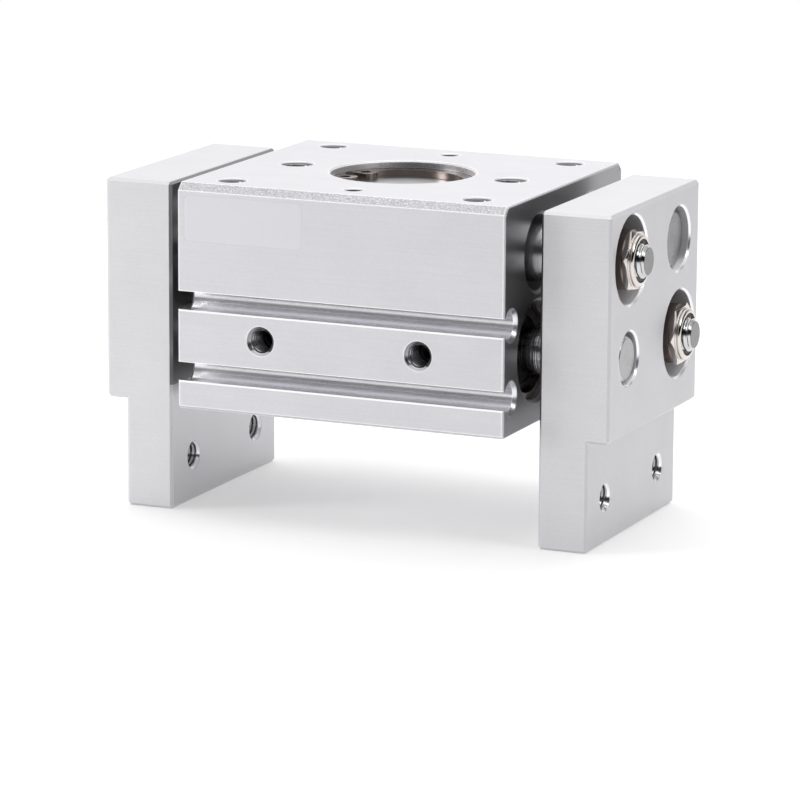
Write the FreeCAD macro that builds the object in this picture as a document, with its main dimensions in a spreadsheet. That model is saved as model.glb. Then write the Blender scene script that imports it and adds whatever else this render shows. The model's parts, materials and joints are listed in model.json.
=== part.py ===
import FreeCAD, Part
import math
import os
import Sketcher

# Parallel gripper with two air cylinders and a rack and pinion that keeps its jaws in step.
# Frame: X along the jaws' travel, Y through the depth with the air ports at -Y, Z up.
# Z = 0 is the lower end of the jaws. The jaws are drawn closed, as they rest.
# The right jaw and all that moves with it, turned half a turn about Z, is the left one.

# Driving sizes in millimetres
SIZES = {
    "body_lift": (19.5, "underside above the lower ends of the jaws"),
    "side_wall": (6.25, "front and back faces to the wider ends of the cylinders"),
    "middle_wall": (7.0, "between the wider ends of the two cylinders"),
    "floor_wall": (4.0, "underside to the wider ends of the cylinders"),
    "bore_wall": (1.6, "wider end of a cylinder to the seat of a rack bush above it"),
    "well_lip": (1.3, "mounting face above the groove of the pinion cover's circlip"),
    "body_top_chamfer": (1.3, "long edges of the mounting face"),
    "body_base_chamfer": (0.5, "long edges of the underside"),
    "body_end_chamfer": (0.3, "edges of both end faces"),
    "slot_mouth": (3.2, "sensor slot, width of its mouth"),
    "slot_bore": (4.8, "sensor slot, diameter of the round inside"),
    "slot_depth": (5.4, "sensor slot, face to the bottom of the round"),
    "slot_flare": (0.6, "sensor slot, flare of the round at both ends"),
    "upper_slot_climb": (6.3, "upper sensor slot above the cylinder axes"),
    "lower_slot_drop": (6.0, "lower sensor slot below the cylinder axes"),
    "bore_diameter": (16.0, "cylinder bore"),
    "cover_bore": (17.0, "wider end of the cylinder bore"),
    "cover_depth": (12.5, "end face to the shoulder that the rod cover seats on"),
    "nose_length": (4.2, "rod cover past that shoulder"),
    "rack_bore": (13.0, "seat of the rack bushes"),
    "rack_seat_depth": (12.0, "end face to the shoulder behind a rack bush"),
    "rack_clearance": (0.3, "radial room round a rack between its bushes"),
    "mouth_chamfer": (0.5, "lead-in of a bore at the end faces"),
    "port_inset": (3.0, "air ports past the shoulder of the rod cover"),
    "port_climb": (0.35, "air ports above the cylinder axes"),
    "port_entry": (1.6, "air ports, reach into the front cylinder"),
    "tap_drill_5": (4.2, "core diameter of an M5 thread"),
    "tap_mouth_5": (5.2, "countersunk mouth of an M5 thread"),
    "tap_drill_6": (5.0, "core diameter of an M6 thread"),
    "tap_mouth_6": (6.0, "countersunk mouth of an M6 thread"),
    "dowel_hole": (3.0, "dowel holes in the mounting face"),
    "dowel_mouth": (3.6, "countersunk mouth of a dowel hole"),
    "corner_hole_end": (7.5, "M5 mounting threads inside the end faces"),
    "corner_hole_side": (5.95, "M5 mounting threads inside the front and back faces"),
    "middle_hole_end": (10.0, "M6 mounting threads inside the end faces"),
    "dowel_side": (6.05, "dowel holes inside the front and back faces"),
    "corner_hole_depth": (8.0, "M5 mounting threads"),
    "middle_hole_depth": (9.0, "M6 mounting threads"),
    "dowel_depth": (5.0, "dowel holes"),
    "well_diameter": (25.0, "pinion well at the mounting face"),
    "well_lower_diameter": (21.2, "pinion well below the cover's seat"),
    "well_floor_drop": (5.5, "floor of the well below the rack axes"),
    "pinion_cover_thickness": (1.7, "disc of the pinion cover"),
    "cover_boss_diameter": (12.0, "boss under the pinion cover"),
    "cover_boss_height": (1.4, "boss under the pinion cover"),
    "pinion_play": (0.1, "pinion to its washer and to its cover"),
    "axle_spigot": (0.6, "axle inside the disc of the cover"),
    "air_way": (2.4, "long air ways drilled from the end faces"),
    "air_branch": (2.0, "cross drillings from the air ways into the cylinders"),
    "air_way_tail": (1.0, "long air ways, past the last cross drilling"),
    "air_way_drop": (2.5, "opening air way below the cylinder axes"),
    "air_way_climb": (3.0, "closing air way above the cylinder axes"),
    "plug_diameter": (3.0, "plugs that close the drilled ways"),
    "plug_length": (2.5, "plugs that close the drilled ways"),
    "gear_module": (1.0, "teeth of pinion and racks"),
    "pinion_teeth": (18, "teeth on the pinion"),
    "pressure_angle": (20.0, "degrees"),
    "backlash": (0.1, "play between meshing teeth"),
    "rack_pitch_inset": (2.3, "pitch line inside the rack's axis"),
    "pinion_width": (9.0, "face of the pinion"),
    "axle_diameter": (6.0, "pinion axle"),
    "axle_root": (5.5, "axle pressed into the housing"),
    "pinion_bush_diameter": (9.0, "outside of the pinion's bush"),
    "thrust_washer_diameter": (14.0, "washer under the pinion"),
    "thrust_washer_thickness": (0.5, "washer under the pinion"),
    "rack_diameter": (10.0, "round racks"),
    "rod_diameter": (8.0, "piston rods"),
    "tail_chamfer": (0.6, "free ends of racks and rods"),
    "rack_tail_inset": (1.1, "free end of a rack inside the far jaw's outer face"),
    "rod_tail_inset": (0.4, "free end of a piston rod inside the far jaw's outer face"),
    "running_fit": (0.03, "radial play of rods, racks and axle in their bushes"),
    "seat_fit": (0.02, "radial play of what sits still in its seat"),
    "stroke": (15.0, "travel of each jaw"),
    "jaw_gap": (4.0, "housing to a closed jaw"),
    "jaw_thickness": (12.5, "upper part of a jaw"),
    "finger_thickness": (8.8, "lower part of a jaw, where attachments bolt on"),
    "finger_height": (18.9, "height of the lower part"),
    "jaw_top_drop": (1.1, "top of a jaw below the mounting face"),
    "jaw_wall": (1.5, "front and back faces of a jaw to the nut pocket of its rod"),
    "jaw_edge": (0.5, "chamfer on the outer edges of a jaw"),
    "nut_pocket_diameter": (15.0, "counterbore round a lock nut"),
    "nut_pocket_depth": (7.0, "counterbore round a lock nut"),
    "pocket_edge": (0.4, "chamfer of the holes in a jaw's outer face"),
    "tail_clearance": (0.5, "radial room round a free rod end in a jaw"),
    "finger_hole_span": (25.0, "M5 threads for attachments, centre to centre"),
    "finger_hole_rise": (8.0, "M5 threads for attachments above the jaw's end"),
    "stud_diameter": (6.0, "M6 threaded ends of racks and rods"),
    "stud_chamfer": (0.75, "free ends of the studs"),
    "stud_clearance": (0.25, "radial room round a stud"),
    "stud_reach": (3.0, "stud beyond the jaw's outer face"),
    "spacer_diameter": (10.2, "spacer between a nut and the floor of its pocket"),
    "nut_inset": (0.1, "seat of a nut inside the jaw's outer face"),
    "nut_flats": (9.6, "across flats"),
    "nut_hex_height": (1.25, "six-sided part of a nut"),
    "nut_height": (1.9, "whole nut with its round collar"),
    "nut_collar_diameter": (9.4, "round collar of a nut"),
    "nut_corner_chamfer": (0.35, "turned-off corners of a nut"),
    "piston_length": (9.0, "both halves together"),
    "piston_cap_thickness": (1.6, "half that holds the magnet on"),
    "piston_clearance": (0.05, "radial play of a piston in its bore"),
    "magnet_diameter": (15.2, "ring magnet in a piston"),
    "magnet_bore": (11.0, "inside of the ring magnet"),
    "magnet_width": (2.0, "ring magnet"),
    "magnet_play": (0.1, "ring magnet in its groove"),
    "piston_seal_width": (2.0, "piston seal"),
    "piston_seal_bottom": (12.4, "bottom diameter of the piston seal's groove"),
    "seal_play": (0.2, "seals in their grooves, along the bore"),
    "bumper_thickness": (1.2, "end cushion of a cylinder"),
    "bumper_diameter": (11.4, "end cushion of a cylinder"),
    "bumper_gap": (0.1, "piston at its stop to the cushion"),
    "bumper_clearance": (0.4, "radial room round the rod in a cushion"),
    "ring_section": (1.2, "section of a cover's seal ring"),
    "ring_play": (0.4, "seal ring in its groove, along the bore"),
    "rod_seal_bottom": (11.6, "bottom diameter of the rod seal's groove"),
    "rod_seal_width": (2.4, "rod seal"),
    "circlip_play": (0.1, "circlips in their grooves"),
    "cover_clip_inset": (1.4, "rod cover's circlip inside the end face"),
    "cover_clip_thickness": (1.0, "rod cover's circlip"),
    "cover_clip_depth": (0.4, "groove of the rod cover's circlip"),
    "cover_clip_width": (1.6, "band of the rod cover's circlip"),
    "cover_clip_lug": (2.9, "lugs of the rod cover's circlip, radially"),
    "cover_clip_spread": (24.0, "degrees from the gap to a lug of that circlip"),
    "rack_clip_inset": (3.5, "rack bush's circlip inside the end face"),
    "rack_clip_thickness": (1.0, "rack bush's circlip"),
    "rack_clip_depth": (0.4, "groove of the rack bush's circlip"),
    "rack_clip_width": (1.0, "band of the rack bush's circlip"),
    "rack_clip_lug": (1.2, "lugs of the rack bush's circlip, radially"),
    "rack_clip_spread": (18.0, "degrees from the gap to a lug of that circlip"),
    "well_clip_thickness": (1.2, "pinion cover's circlip"),
    "well_clip_depth": (0.6, "groove of the pinion cover's circlip"),
    "well_clip_width": (2.6, "band of the pinion cover's circlip"),
    "well_clip_lug": (4.2, "lugs of the pinion cover's circlip, radially"),
    "well_clip_spread": (17.0, "degrees from the gap to a lug of that circlip"),
}

doc = FreeCAD.newDocument("gripper")
sheet = doc.addObject("Spreadsheet::Sheet", "sizes")
for row, (alias, (number, note)) in enumerate(SIZES.items(), start=1):
    sheet.set("A%d" % row, note)
    sheet.set("B%d" % row, str(number))
    sheet.setAlias("B%d" % row, alias)
doc.recompute()


class Size:
    """A number together with the sheet formula that gives it."""

    def __init__(self, value, formula):
        self.value = value
        self.formula = formula

    def __add__(self, other):
        other = as_size(other)
        return Size(self.value + other.value, "(%s + %s)" % (self.formula, other.formula))

    def __radd__(self, other):
        return as_size(other) + self

    def __neg__(self):
        return Size(-self.value, "(-1 * %s)" % self.formula)

    def __sub__(self, other):
        return self + (-as_size(other))

    def __rsub__(self, other):
        return as_size(other) + (-self)

    def __mul__(self, other):
        other = as_size(other)
        return Size(self.value * other.value, "(%s * %s)" % (self.formula, other.formula))

    def __rmul__(self, other):
        return as_size(other) * self

    def __truediv__(self, other):
        other = as_size(other)
        return Size(self.value / other.value, "(%s / %s)" % (self.formula, other.formula))

    def sine(self):
        return Size(math.sin(math.radians(self.value)), "sin(%s)" % self.formula)

    def cosine(self):
        return Size(math.cos(math.radians(self.value)), "cos(%s)" % self.formula)

    def tangent(self):
        return Size(math.tan(math.radians(self.value)), "tan(%s)" % self.formula)


def as_size(thing):
    return thing if isinstance(thing, Size) else Size(float(thing), repr(float(thing)))


class Namespace:
    """Every size of the sheet under its own name."""


s = Namespace()
for alias in SIZES:
    setattr(s, alias, Size(float(sheet.get(alias)), "sizes." + alias))

ZERO = as_size(0.0)
VECTOR = FreeCAD.Vector

# Shares and angles that belong to a kind of part, whatever its size
DEDENDUM = 1.25
LUG_HOLE = 0.45
LUG_GAP = 0.8
CLIP_LEAN = 50
WELL_CLIP_TURN = -11
CORNER_ANGLE = 30
OVERCUT = 1.0

# Worked-out places that several pieces share
piston_stop = s.stroke / 2 + s.piston_length / 2
cover_nose = s.cover_depth + s.nose_length
body_end = piston_stop + s.bumper_gap + s.bumper_thickness + cover_nose
bore_offset = (s.middle_wall + s.cover_bore) / 2
body_front = bore_offset + s.cover_bore / 2 + s.side_wall
bore_level = s.body_lift + s.floor_wall + s.cover_bore / 2
rack_level = bore_level + s.cover_bore / 2 + s.bore_wall + s.rack_bore / 2
pitch_radius = s.gear_module * s.pinion_teeth / 2
rack_offset = pitch_radius + s.rack_pitch_inset
tooth_pitch = s.gear_module * math.pi
well_floor = rack_level - s.well_floor_drop
axle_foot = well_floor - s.axle_root
pinion_foot = well_floor + s.thrust_washer_thickness + s.pinion_play
cover_boss_foot = pinion_foot + s.pinion_width + s.pinion_play
well_seat = cover_boss_foot + s.cover_boss_height
axle_top = well_seat + s.axle_spigot
well_clip_base = well_seat + s.pinion_cover_thickness
well_clip_top = well_clip_base + s.well_clip_thickness + s.circlip_play
body_top = well_clip_top + s.well_lip
jaw_inner = body_end + s.jaw_gap
jaw_outer = jaw_inner + s.jaw_thickness
pocket_floor = jaw_outer - s.nut_pocket_depth
rack_radius = s.rack_diameter / 2
rod_radius = s.rod_diameter / 2
stud_radius = s.stud_diameter / 2


def bind(owner, target, size):
    """Tie a property or constraint of the document to its formula."""
    if size.formula != ZERO.formula:
        owner.setExpression(target, size.formula)


def new_body(name):
    body = doc.addObject("PartDesign::Body", name)
    body.Label = name
    return body


def put(body, x=ZERO, y=ZERO, z=ZERO, turn=None, half_turn=False):
    """Place a body. half_turn turns the place and the body by 180 degrees about Z."""
    rotation = turn or FreeCAD.Rotation()
    if half_turn:
        x = -x
        y = -y
        rotation = FreeCAD.Rotation(VECTOR(0, 0, 1), 180).multiply(rotation)
    body.Placement = FreeCAD.Placement(VECTOR(x.value, y.value, z.value), rotation)
    for axis, size in (("x", x), ("y", y), ("z", z)):
        bind(body, "Placement.Base." + axis, size)
    return body


def new_sketch(body, name, role, shift=(ZERO, ZERO, ZERO)):
    """A sketch on one of the body's own planes, shifted along the sketch's own axes."""
    plane = [item for item in body.Origin.OriginFeatures if item.Role == role][0]
    sketch = body.newObject("Sketcher::SketchObject", name)
    sketch.AttachmentSupport = (plane, [""])
    sketch.MapMode = "FlatFace"
    start = VECTOR(*[size.value for size in shift])
    sketch.AttachmentOffset = FreeCAD.Placement(start, FreeCAD.Rotation())
    for axis, size in zip("xyz", shift):
        bind(sketch, "AttachmentOffset.Base." + axis, size)
    return sketch


def fix_point(sketch, geometry, point, x, y):
    """Hold a point of the sketch at its two formulas."""
    for kind, size in (("DistanceX", x), ("DistanceY", y)):
        index = sketch.addConstraint(Sketcher.Constraint(kind, -1, 1, geometry, point, size.value))
        bind(sketch, "Constraints[%d]" % index, size)


def draw_outline(sketch, corners):
    """A closed outline of straight edges through the corners."""
    corners = [(as_size(x), as_size(y)) for x, y in corners]
    first = sketch.GeometryCount
    points = [VECTOR(x.value, y.value, 0) for x, y in corners]
    count = len(points)
    for index in range(count):
        sketch.addGeometry(Part.LineSegment(points[index], points[(index + 1) % count]))
    for index in range(count):
        following = first + (index + 1) % count
        sketch.addConstraint(Sketcher.Constraint("Coincident", first + index, 2, following, 1))
    for index, (x, y) in enumerate(corners):
        fix_point(sketch, first + index, 1, x, y)


def draw_circles(sketch, circles):
    """Circles given as centre x, centre y and radius."""
    for circle in circles:
        x, y, radius = [as_size(value) for value in circle]
        centre = VECTOR(x.value, y.value, 0)
        index = sketch.addGeometry(Part.Circle(centre, VECTOR(0, 0, 1), radius.value))
        fix_point(sketch, index, 3, x, y)
        constraint = sketch.addConstraint(Sketcher.Constraint("Radius", index, radius.value))
        bind(sketch, "Constraints[%d]" % constraint, radius)


def turn_solid(body, sketch, kind="PartDesign::Revolution", axis="H_Axis"):
    """Revolve a sketch about one of its own axes, adding or, as a Groove, cutting."""
    feature = body.newObject(kind, sketch.Name + "_turn")
    feature.Profile = sketch
    feature.ReferenceAxis = (sketch, [axis])
    feature.Angle = 360
    return feature


def turned(body, name, corners):
    """A turned shape about the body's X axis, its outline as distances along and from it."""
    sketch = new_sketch(body, name, "XZ_Plane")
    draw_outline(sketch, corners)
    return turn_solid(body, sketch)


def ring(name, start, width, inside, outside):
    """A plain ring about the body's X axis."""
    body = new_body(name)
    turned(body, name + "_outline", [
        (start, inside),
        (start, outside),
        (start + width, outside),
        (start + width, inside),
    ])
    return body


def bore_along_x(body, name, y, z, corners):
    """Cut a turned hollow about a line along X through y and z."""
    sketch = new_sketch(body, name, "XZ_Plane", (ZERO, z, -y))
    draw_outline(sketch, corners)
    return turn_solid(body, sketch, "PartDesign::Groove")


def bore_along_y(body, name, x, z, corners):
    """Cut a turned hollow about a line along Y through x and z."""
    sketch = new_sketch(body, name, "YZ_Plane", (ZERO, z, x))
    draw_outline(sketch, corners)
    return turn_solid(body, sketch, "PartDesign::Groove")


def bore_along_z(body, name, x, y, corners):
    """Cut a turned hollow about a line along Z through x and y. Corners are radius and height."""
    sketch = new_sketch(body, name, "XZ_Plane", (x, ZERO, -y))
    draw_outline(sketch, corners)
    return turn_solid(body, sketch, "PartDesign::Groove", "V_Axis")


def pad(body, sketch, length, reverse=False):
    feature = body.newObject("PartDesign::Pad", sketch.Name + "_pad")
    feature.Profile = sketch
    feature.Length = length.value
    feature.Reversed = reverse
    bind(feature, "Length", length)
    return feature


def pocket(body, sketch, length, reverse=False):
    feature = body.newObject("PartDesign::Pocket", sketch.Name + "_pocket")
    feature.Profile = sketch
    feature.Length = length.value
    feature.Reversed = reverse
    bind(feature, "Length", length)
    return feature


def chamfer_edges(body, name, base, size, wanted):
    """Chamfer the edges of the base feature that the test picks."""
    doc.recompute()
    names = ["Edge%d" % (i + 1) for i, edge in enumerate(base.Shape.Edges) if wanted(edge)]
    feature = body.newObject("PartDesign::Chamfer", name)
    feature.Base = (base, names)
    feature.Size = size.value
    bind(feature, "Size", size)
    return feature


def tapped_holes(body, name, centres, drill, mouth, depth):
    """Countersunk blind holes in the mounting face."""
    sketch = new_sketch(body, name, "XY_Plane", (ZERO, ZERO, body_top))
    draw_circles(sketch, [(x, y, drill / 2) for x, y in centres])
    doc.recompute()
    hole = body.newObject("PartDesign::Hole", name + "_hole")
    hole.Profile = sketch
    doc.recompute()
    hole.DepthType = "Dimension"
    hole.DrillPoint = "Flat"
    hole.HoleCutType = "Countersink"
    hole.HoleCutCountersinkAngle = 90
    for target, size in (("Diameter", drill), ("Depth", depth), ("HoleCutDiameter", mouth)):
        setattr(hole, target, size.value)
        bind(hole, target, size)
    return hole


# The housing: one extruded and bored block that carries everything
def build_housing():
    body = new_body("housing")
    start = -body_end
    outline = new_sketch(body, "housing_section", "YZ_Plane", (ZERO, ZERO, start))
    front = -body_front
    back = body_front
    top_cut = s.body_top_chamfer
    base_cut = s.body_base_chamfer
    draw_outline(outline, [
        (front + base_cut, s.body_lift),
        (back - base_cut, s.body_lift),
        (back, s.body_lift + base_cut),
        (back, body_top - top_cut),
        (back - top_cut, body_top),
        (front + top_cut, body_top),
        (front, body_top - top_cut),
        (front, s.body_lift + base_cut),
    ])
    block = pad(body, outline, body_end * 2)

    def on_an_end_face(edge):
        return all(abs(abs(vertex.X) - body_end.value) < 1e-6 for vertex in edge.Vertexes) \
            and abs(edge.Vertexes[0].X - edge.Vertexes[-1].X) < 1e-6

    chamfer_edges(body, "end_edges", block, s.body_end_chamfer, on_an_end_face)
    cut_sensor_slots(body)
    cut_cylinders(body)
    cut_rack_bores(body)
    cut_pinion_well(body)
    cut_ports_and_air_ways(body)
    cut_mounting_holes(body)
    return body


def cut_sensor_slots(body):
    """Four C-shaped slots along the front and the back, flared where they meet the end faces."""
    radius = s.slot_bore / 2
    flare = s.slot_flare
    centre = body_front - s.slot_depth + radius
    for side in (-1, 1):
        for level, height in (("upper", bore_level + s.upper_slot_climb),
                              ("lower", bore_level - s.lower_slot_drop)):
            name = "%s_%s_slot" % ("front" if side < 0 else "back", level)
            bore_along_x(body, name, centre * side, height, [
                (-body_end, 0),
                (-body_end, radius + flare),
                (flare - body_end, radius),
                (body_end - flare, radius),
                (body_end, radius + flare),
                (body_end, 0),
            ])
            mouth = new_sketch(body, name + "_mouth", "YZ_Plane", (ZERO, ZERO, body_end))
            draw_outline(mouth, [
                (centre * side, height - s.slot_mouth / 2),
                (body_front * side, height - s.slot_mouth / 2),
                (body_front * side, height + s.slot_mouth / 2),
                (centre * side, height + s.slot_mouth / 2),
            ])
            pocket(body, mouth, body_end * 2)


def end_bore_outline(end_radius, end_depth, inner_radius, clip_inset, clip_width, clip_radius):
    """Half outline of a bore right through the housing, with a wider seat at both ends."""
    seat = body_end - end_depth
    clip_out = body_end - clip_inset
    clip_in = clip_out - clip_width
    half = [
        (seat, inner_radius),
        (seat, end_radius),
        (clip_in, end_radius),
        (clip_in, clip_radius),
        (clip_out, clip_radius),
        (clip_out, end_radius),
        (body_end - s.mouth_chamfer, end_radius),
        (body_end, end_radius + s.mouth_chamfer),
        (body_end, ZERO),
    ]
    return half + [(-x, radius) for x, radius in reversed(half)]


def cut_cylinders(body):
    outline = end_bore_outline(
        s.cover_bore / 2, s.cover_depth, s.bore_diameter / 2, s.cover_clip_inset,
        s.cover_clip_thickness + s.circlip_play, s.cover_bore / 2 + s.cover_clip_depth)
    for name, side in (("front_cylinder", -1), ("rear_cylinder", 1)):
        bore_along_x(body, name, bore_offset * side, bore_level, outline)


def cut_rack_bores(body):
    outline = end_bore_outline(
        s.rack_bore / 2, s.rack_seat_depth, rack_radius + s.rack_clearance, s.rack_clip_inset,
        s.rack_clip_thickness + s.circlip_play, s.rack_bore / 2 + s.rack_clip_depth)
    for name, side in (("front_rack_bore", -1), ("rear_rack_bore", 1)):
        bore_along_x(body, name, rack_offset * side, rack_level, outline)


def cut_pinion_well(body):
    """The round well under the mounting face, with the cover's seat and the axle's hole."""
    bore_along_z(body, "pinion_well", ZERO, ZERO, [
        (0, axle_foot),
        (s.axle_diameter / 2, axle_foot),
        (s.axle_diameter / 2, well_floor),
        (s.well_lower_diameter / 2, well_floor),
        (s.well_lower_diameter / 2, well_seat),
        (s.well_diameter / 2, well_seat),
        (s.well_diameter / 2, well_clip_base),
        (s.well_diameter / 2 + s.well_clip_depth, well_clip_base),
        (s.well_diameter / 2 + s.well_clip_depth, well_clip_top),
        (s.well_diameter / 2, well_clip_top),
        (s.well_diameter / 2, body_top - s.body_end_chamfer),
        (s.well_diameter / 2 + s.body_end_chamfer, body_top),
        (0, body_top),
    ])


port_place = body_end - s.cover_depth - s.port_inset
opening_way = bore_level - s.air_way_drop
closing_way = bore_level + s.air_way_climb


def cut_ports_and_air_ways(body):
    """Both ports open into the front cylinder, and crossed drillings feed the rear one."""
    drill = s.tap_drill_5 / 2
    mouth = s.tap_mouth_5 / 2
    bottom = s.port_entry - bore_offset - s.bore_diameter / 2
    for name, side in (("closing_port", -1), ("opening_port", 1)):
        bore_along_y(body, name, port_place * side, bore_level + s.port_climb, [
            (-body_front, 0),
            (-body_front, mouth),
            (mouth - drill - body_front, drill),
            (bottom, drill),
            (bottom, 0),
        ])
    way = s.air_way / 2
    branch_way = s.air_branch / 2
    reach = port_place + branch_way + s.air_way_tail
    into_bore = bore_offset - s.bore_diameter / 4
    for name, side, level in (("opening_way", 1, opening_way), ("closing_way", -1, closing_way)):
        bore_along_x(body, name, ZERO, level, [
            (-reach * side, 0),
            (-reach * side, way),
            ((body_end - s.plug_length) * side, way),
            ((body_end - s.plug_length) * side, s.plug_diameter / 2),
            (body_end * side, s.plug_diameter / 2),
            (body_end * side, 0),
        ])
        for branch, end in (("front", -1), ("rear", 1)):
            bore_along_y(body, name + "_" + branch, port_place * side * -end, level, [
                (0, 0),
                (0, branch_way),
                (into_bore * end, branch_way),
                (into_bore * end, 0),
            ])


def cut_mounting_holes(body):
    """Threads and dowel holes in the mounting face."""
    along = body_end - s.corner_hole_end
    across = body_front - s.corner_hole_side
    corners = [(along, across), (-along, across), (-along, -across), (along, -across)]
    tapped_holes(body, "corner_threads", corners, s.tap_drill_5, s.tap_mouth_5,
                 s.corner_hole_depth)
    middle = body_end - s.middle_hole_end
    tapped_holes(body, "middle_threads", [(middle, ZERO), (-middle, ZERO)],
                 s.tap_drill_6, s.tap_mouth_6, s.middle_hole_depth)
    dowel = body_front - s.dowel_side
    tapped_holes(body, "dowel_holes", [(ZERO, dowel), (ZERO, -dowel)],
                 s.dowel_hole, s.dowel_mouth, s.dowel_depth)


def build_plugs():
    """Two short plugs, one in the drilled end of each air way."""
    plugs = []
    for name, side, level in (("opening_plug", 1, opening_way), ("closing_plug", -1, closing_way)):
        plug = doc.addObject("Part::Cylinder", name)
        plug.Placement = FreeCAD.Placement(VECTOR(0, 0, 0), FreeCAD.Rotation(VECTOR(0, 1, 0), 90))
        bind(plug, "Radius", s.plug_diameter / 2 - s.seat_fit)
        bind(plug, "Height", s.plug_length)
        edge = body_end - s.plug_length if side > 0 else -body_end
        bind(plug, "Placement.Base.x", edge)
        bind(plug, "Placement.Base.z", level)
        plugs.append(plug)
    pair = doc.addObject("Part::Compound", "air_way_plugs")
    pair.Label = "air_way_plugs"
    pair.Links = plugs
    return pair


# Circlips: a band with a gap and two lugs that have plier holes
def build_circlip(name, bore, depth, thickness, width, lug, spread):
    """A circlip about the body's X axis. spread is the angle from the gap to a lug, degrees."""
    body = new_body(name)
    outer = bore / 2 + depth - s.seat_fit
    band = new_sketch(body, name + "_band", "YZ_Plane")
    draw_circles(band, [(0, 0, outer), (0, 0, outer - width)])
    pad(body, band, thickness)
    lug_radius = lug / 2
    reach = bore / 2 - lug_radius - s.seat_fit
    aside = reach * spread.sine()
    up = reach * spread.cosine()
    lugs = new_sketch(body, name + "_lugs", "YZ_Plane")
    draw_circles(lugs, [(aside, up, lug_radius), (-aside, up, lug_radius)])
    pad(body, lugs, thickness)
    gap = new_sketch(body, name + "_gap", "YZ_Plane")
    half_gap = aside - lug_radius * LUG_GAP
    draw_outline(gap, [(-half_gap, 0), (half_gap, 0), (half_gap, outer), (-half_gap, outer)])
    pocket(body, gap, thickness, reverse=True)
    holes = new_sketch(body, name + "_holes", "YZ_Plane")
    hole = lug_radius * LUG_HOLE
    draw_circles(holes, [(aside, up, hole), (-aside, up, hole)])
    pocket(body, holes, thickness, reverse=True)
    return body


# What closes one end of a cylinder. Distances run from the end face, inwards negative.
clip_in = -s.cover_clip_inset - s.circlip_play - s.cover_clip_thickness
ring_start = -s.cover_depth / 2
ring_end = ring_start - s.ring_section - s.ring_play
rod_seal_end = clip_in - s.rod_seal_width - s.seal_play


def build_rod_cover(name):
    """Closes the bore and guides the rod. Its nose carries the cushion and leaves room for air."""
    body = new_body(name)
    outside = s.cover_bore / 2 - s.seat_fit
    bottom = s.cover_bore / 2 - s.ring_section
    guide = rod_radius + s.running_fit
    turned(body, name + "_outline", [
        (-cover_nose, guide),
        (-cover_nose, s.bumper_diameter / 2),
        (-s.cover_depth, s.bumper_diameter / 2),
        (-s.cover_depth, outside),
        (ring_end, outside),
        (ring_end, bottom),
        (ring_start, bottom),
        (ring_start, outside),
        (clip_in, outside),
        (clip_in, s.rod_seal_bottom / 2),
        (rod_seal_end, s.rod_seal_bottom / 2),
        (rod_seal_end, guide),
    ])
    return body


def build_cover_ring(name):
    """Seal ring in the outside groove of a rod cover."""
    return ring(name, ring_end + s.ring_play / 2, s.ring_section,
                s.cover_bore / 2 - s.ring_section, s.cover_bore / 2)


def build_rod_seal(name):
    return ring(name, rod_seal_end, s.rod_seal_width, rod_radius + s.running_fit,
                s.rod_seal_bottom / 2)


def build_bumper(name):
    return ring(name, -cover_nose - s.bumper_thickness, s.bumper_thickness,
                rod_radius + s.bumper_clearance, s.bumper_diameter / 2)


def build_rack_bush(name):
    outer_end = -s.rack_clip_inset - s.circlip_play - s.rack_clip_thickness
    return ring(name, -s.rack_seat_depth, outer_end + s.rack_seat_depth,
                rack_radius + s.running_fit, s.rack_bore / 2 - s.seat_fit)


def build_cylinder_ends():
    """The same set of pieces at both ends of both cylinders and both rack bores."""
    pieces = []
    for front_or_rear, side in (("front", -1), ("rear", 1)):
        for left_or_right in ("left", "right"):
            half_turn = left_or_right == "left"
            turned_side = -side if half_turn else side
            tag = "%s_%s_" % (front_or_rear, left_or_right)
            for build, name in ((build_rod_cover, "rod_cover"), (build_cover_ring, "cover_ring"),
                                (build_rod_seal, "rod_seal"), (build_bumper, "bumper")):
                pieces.append(put(build(tag + name), body_end, bore_offset * turned_side,
                                  bore_level, half_turn=half_turn))
            clip = build_circlip(tag + "cover_circlip", s.cover_bore, s.cover_clip_depth,
                                 s.cover_clip_thickness, s.cover_clip_width, s.cover_clip_lug,
                                 s.cover_clip_spread)
            lean = CLIP_LEAN if turned_side < 0 else -CLIP_LEAN
            pieces.append(put(clip, body_end + clip_in + s.circlip_play / 2,
                              bore_offset * turned_side, bore_level,
                              FreeCAD.Rotation(VECTOR(1, 0, 0), lean), half_turn))
            pieces.append(put(build_rack_bush(tag + "rack_bush"), body_end,
                              rack_offset * turned_side, rack_level, half_turn=half_turn))
            clip = build_circlip(tag + "rack_circlip", s.rack_bore, s.rack_clip_depth,
                                 s.rack_clip_thickness, s.rack_clip_width, s.rack_clip_lug,
                                 s.rack_clip_spread)
            clip_place = body_end - s.rack_clip_inset - s.rack_clip_thickness \
                - s.circlip_play / 2
            pieces.append(put(clip, clip_place, rack_offset * turned_side, rack_level,
                              FreeCAD.Rotation(VECTOR(1, 0, 0), lean), half_turn))
    return pieces


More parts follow.
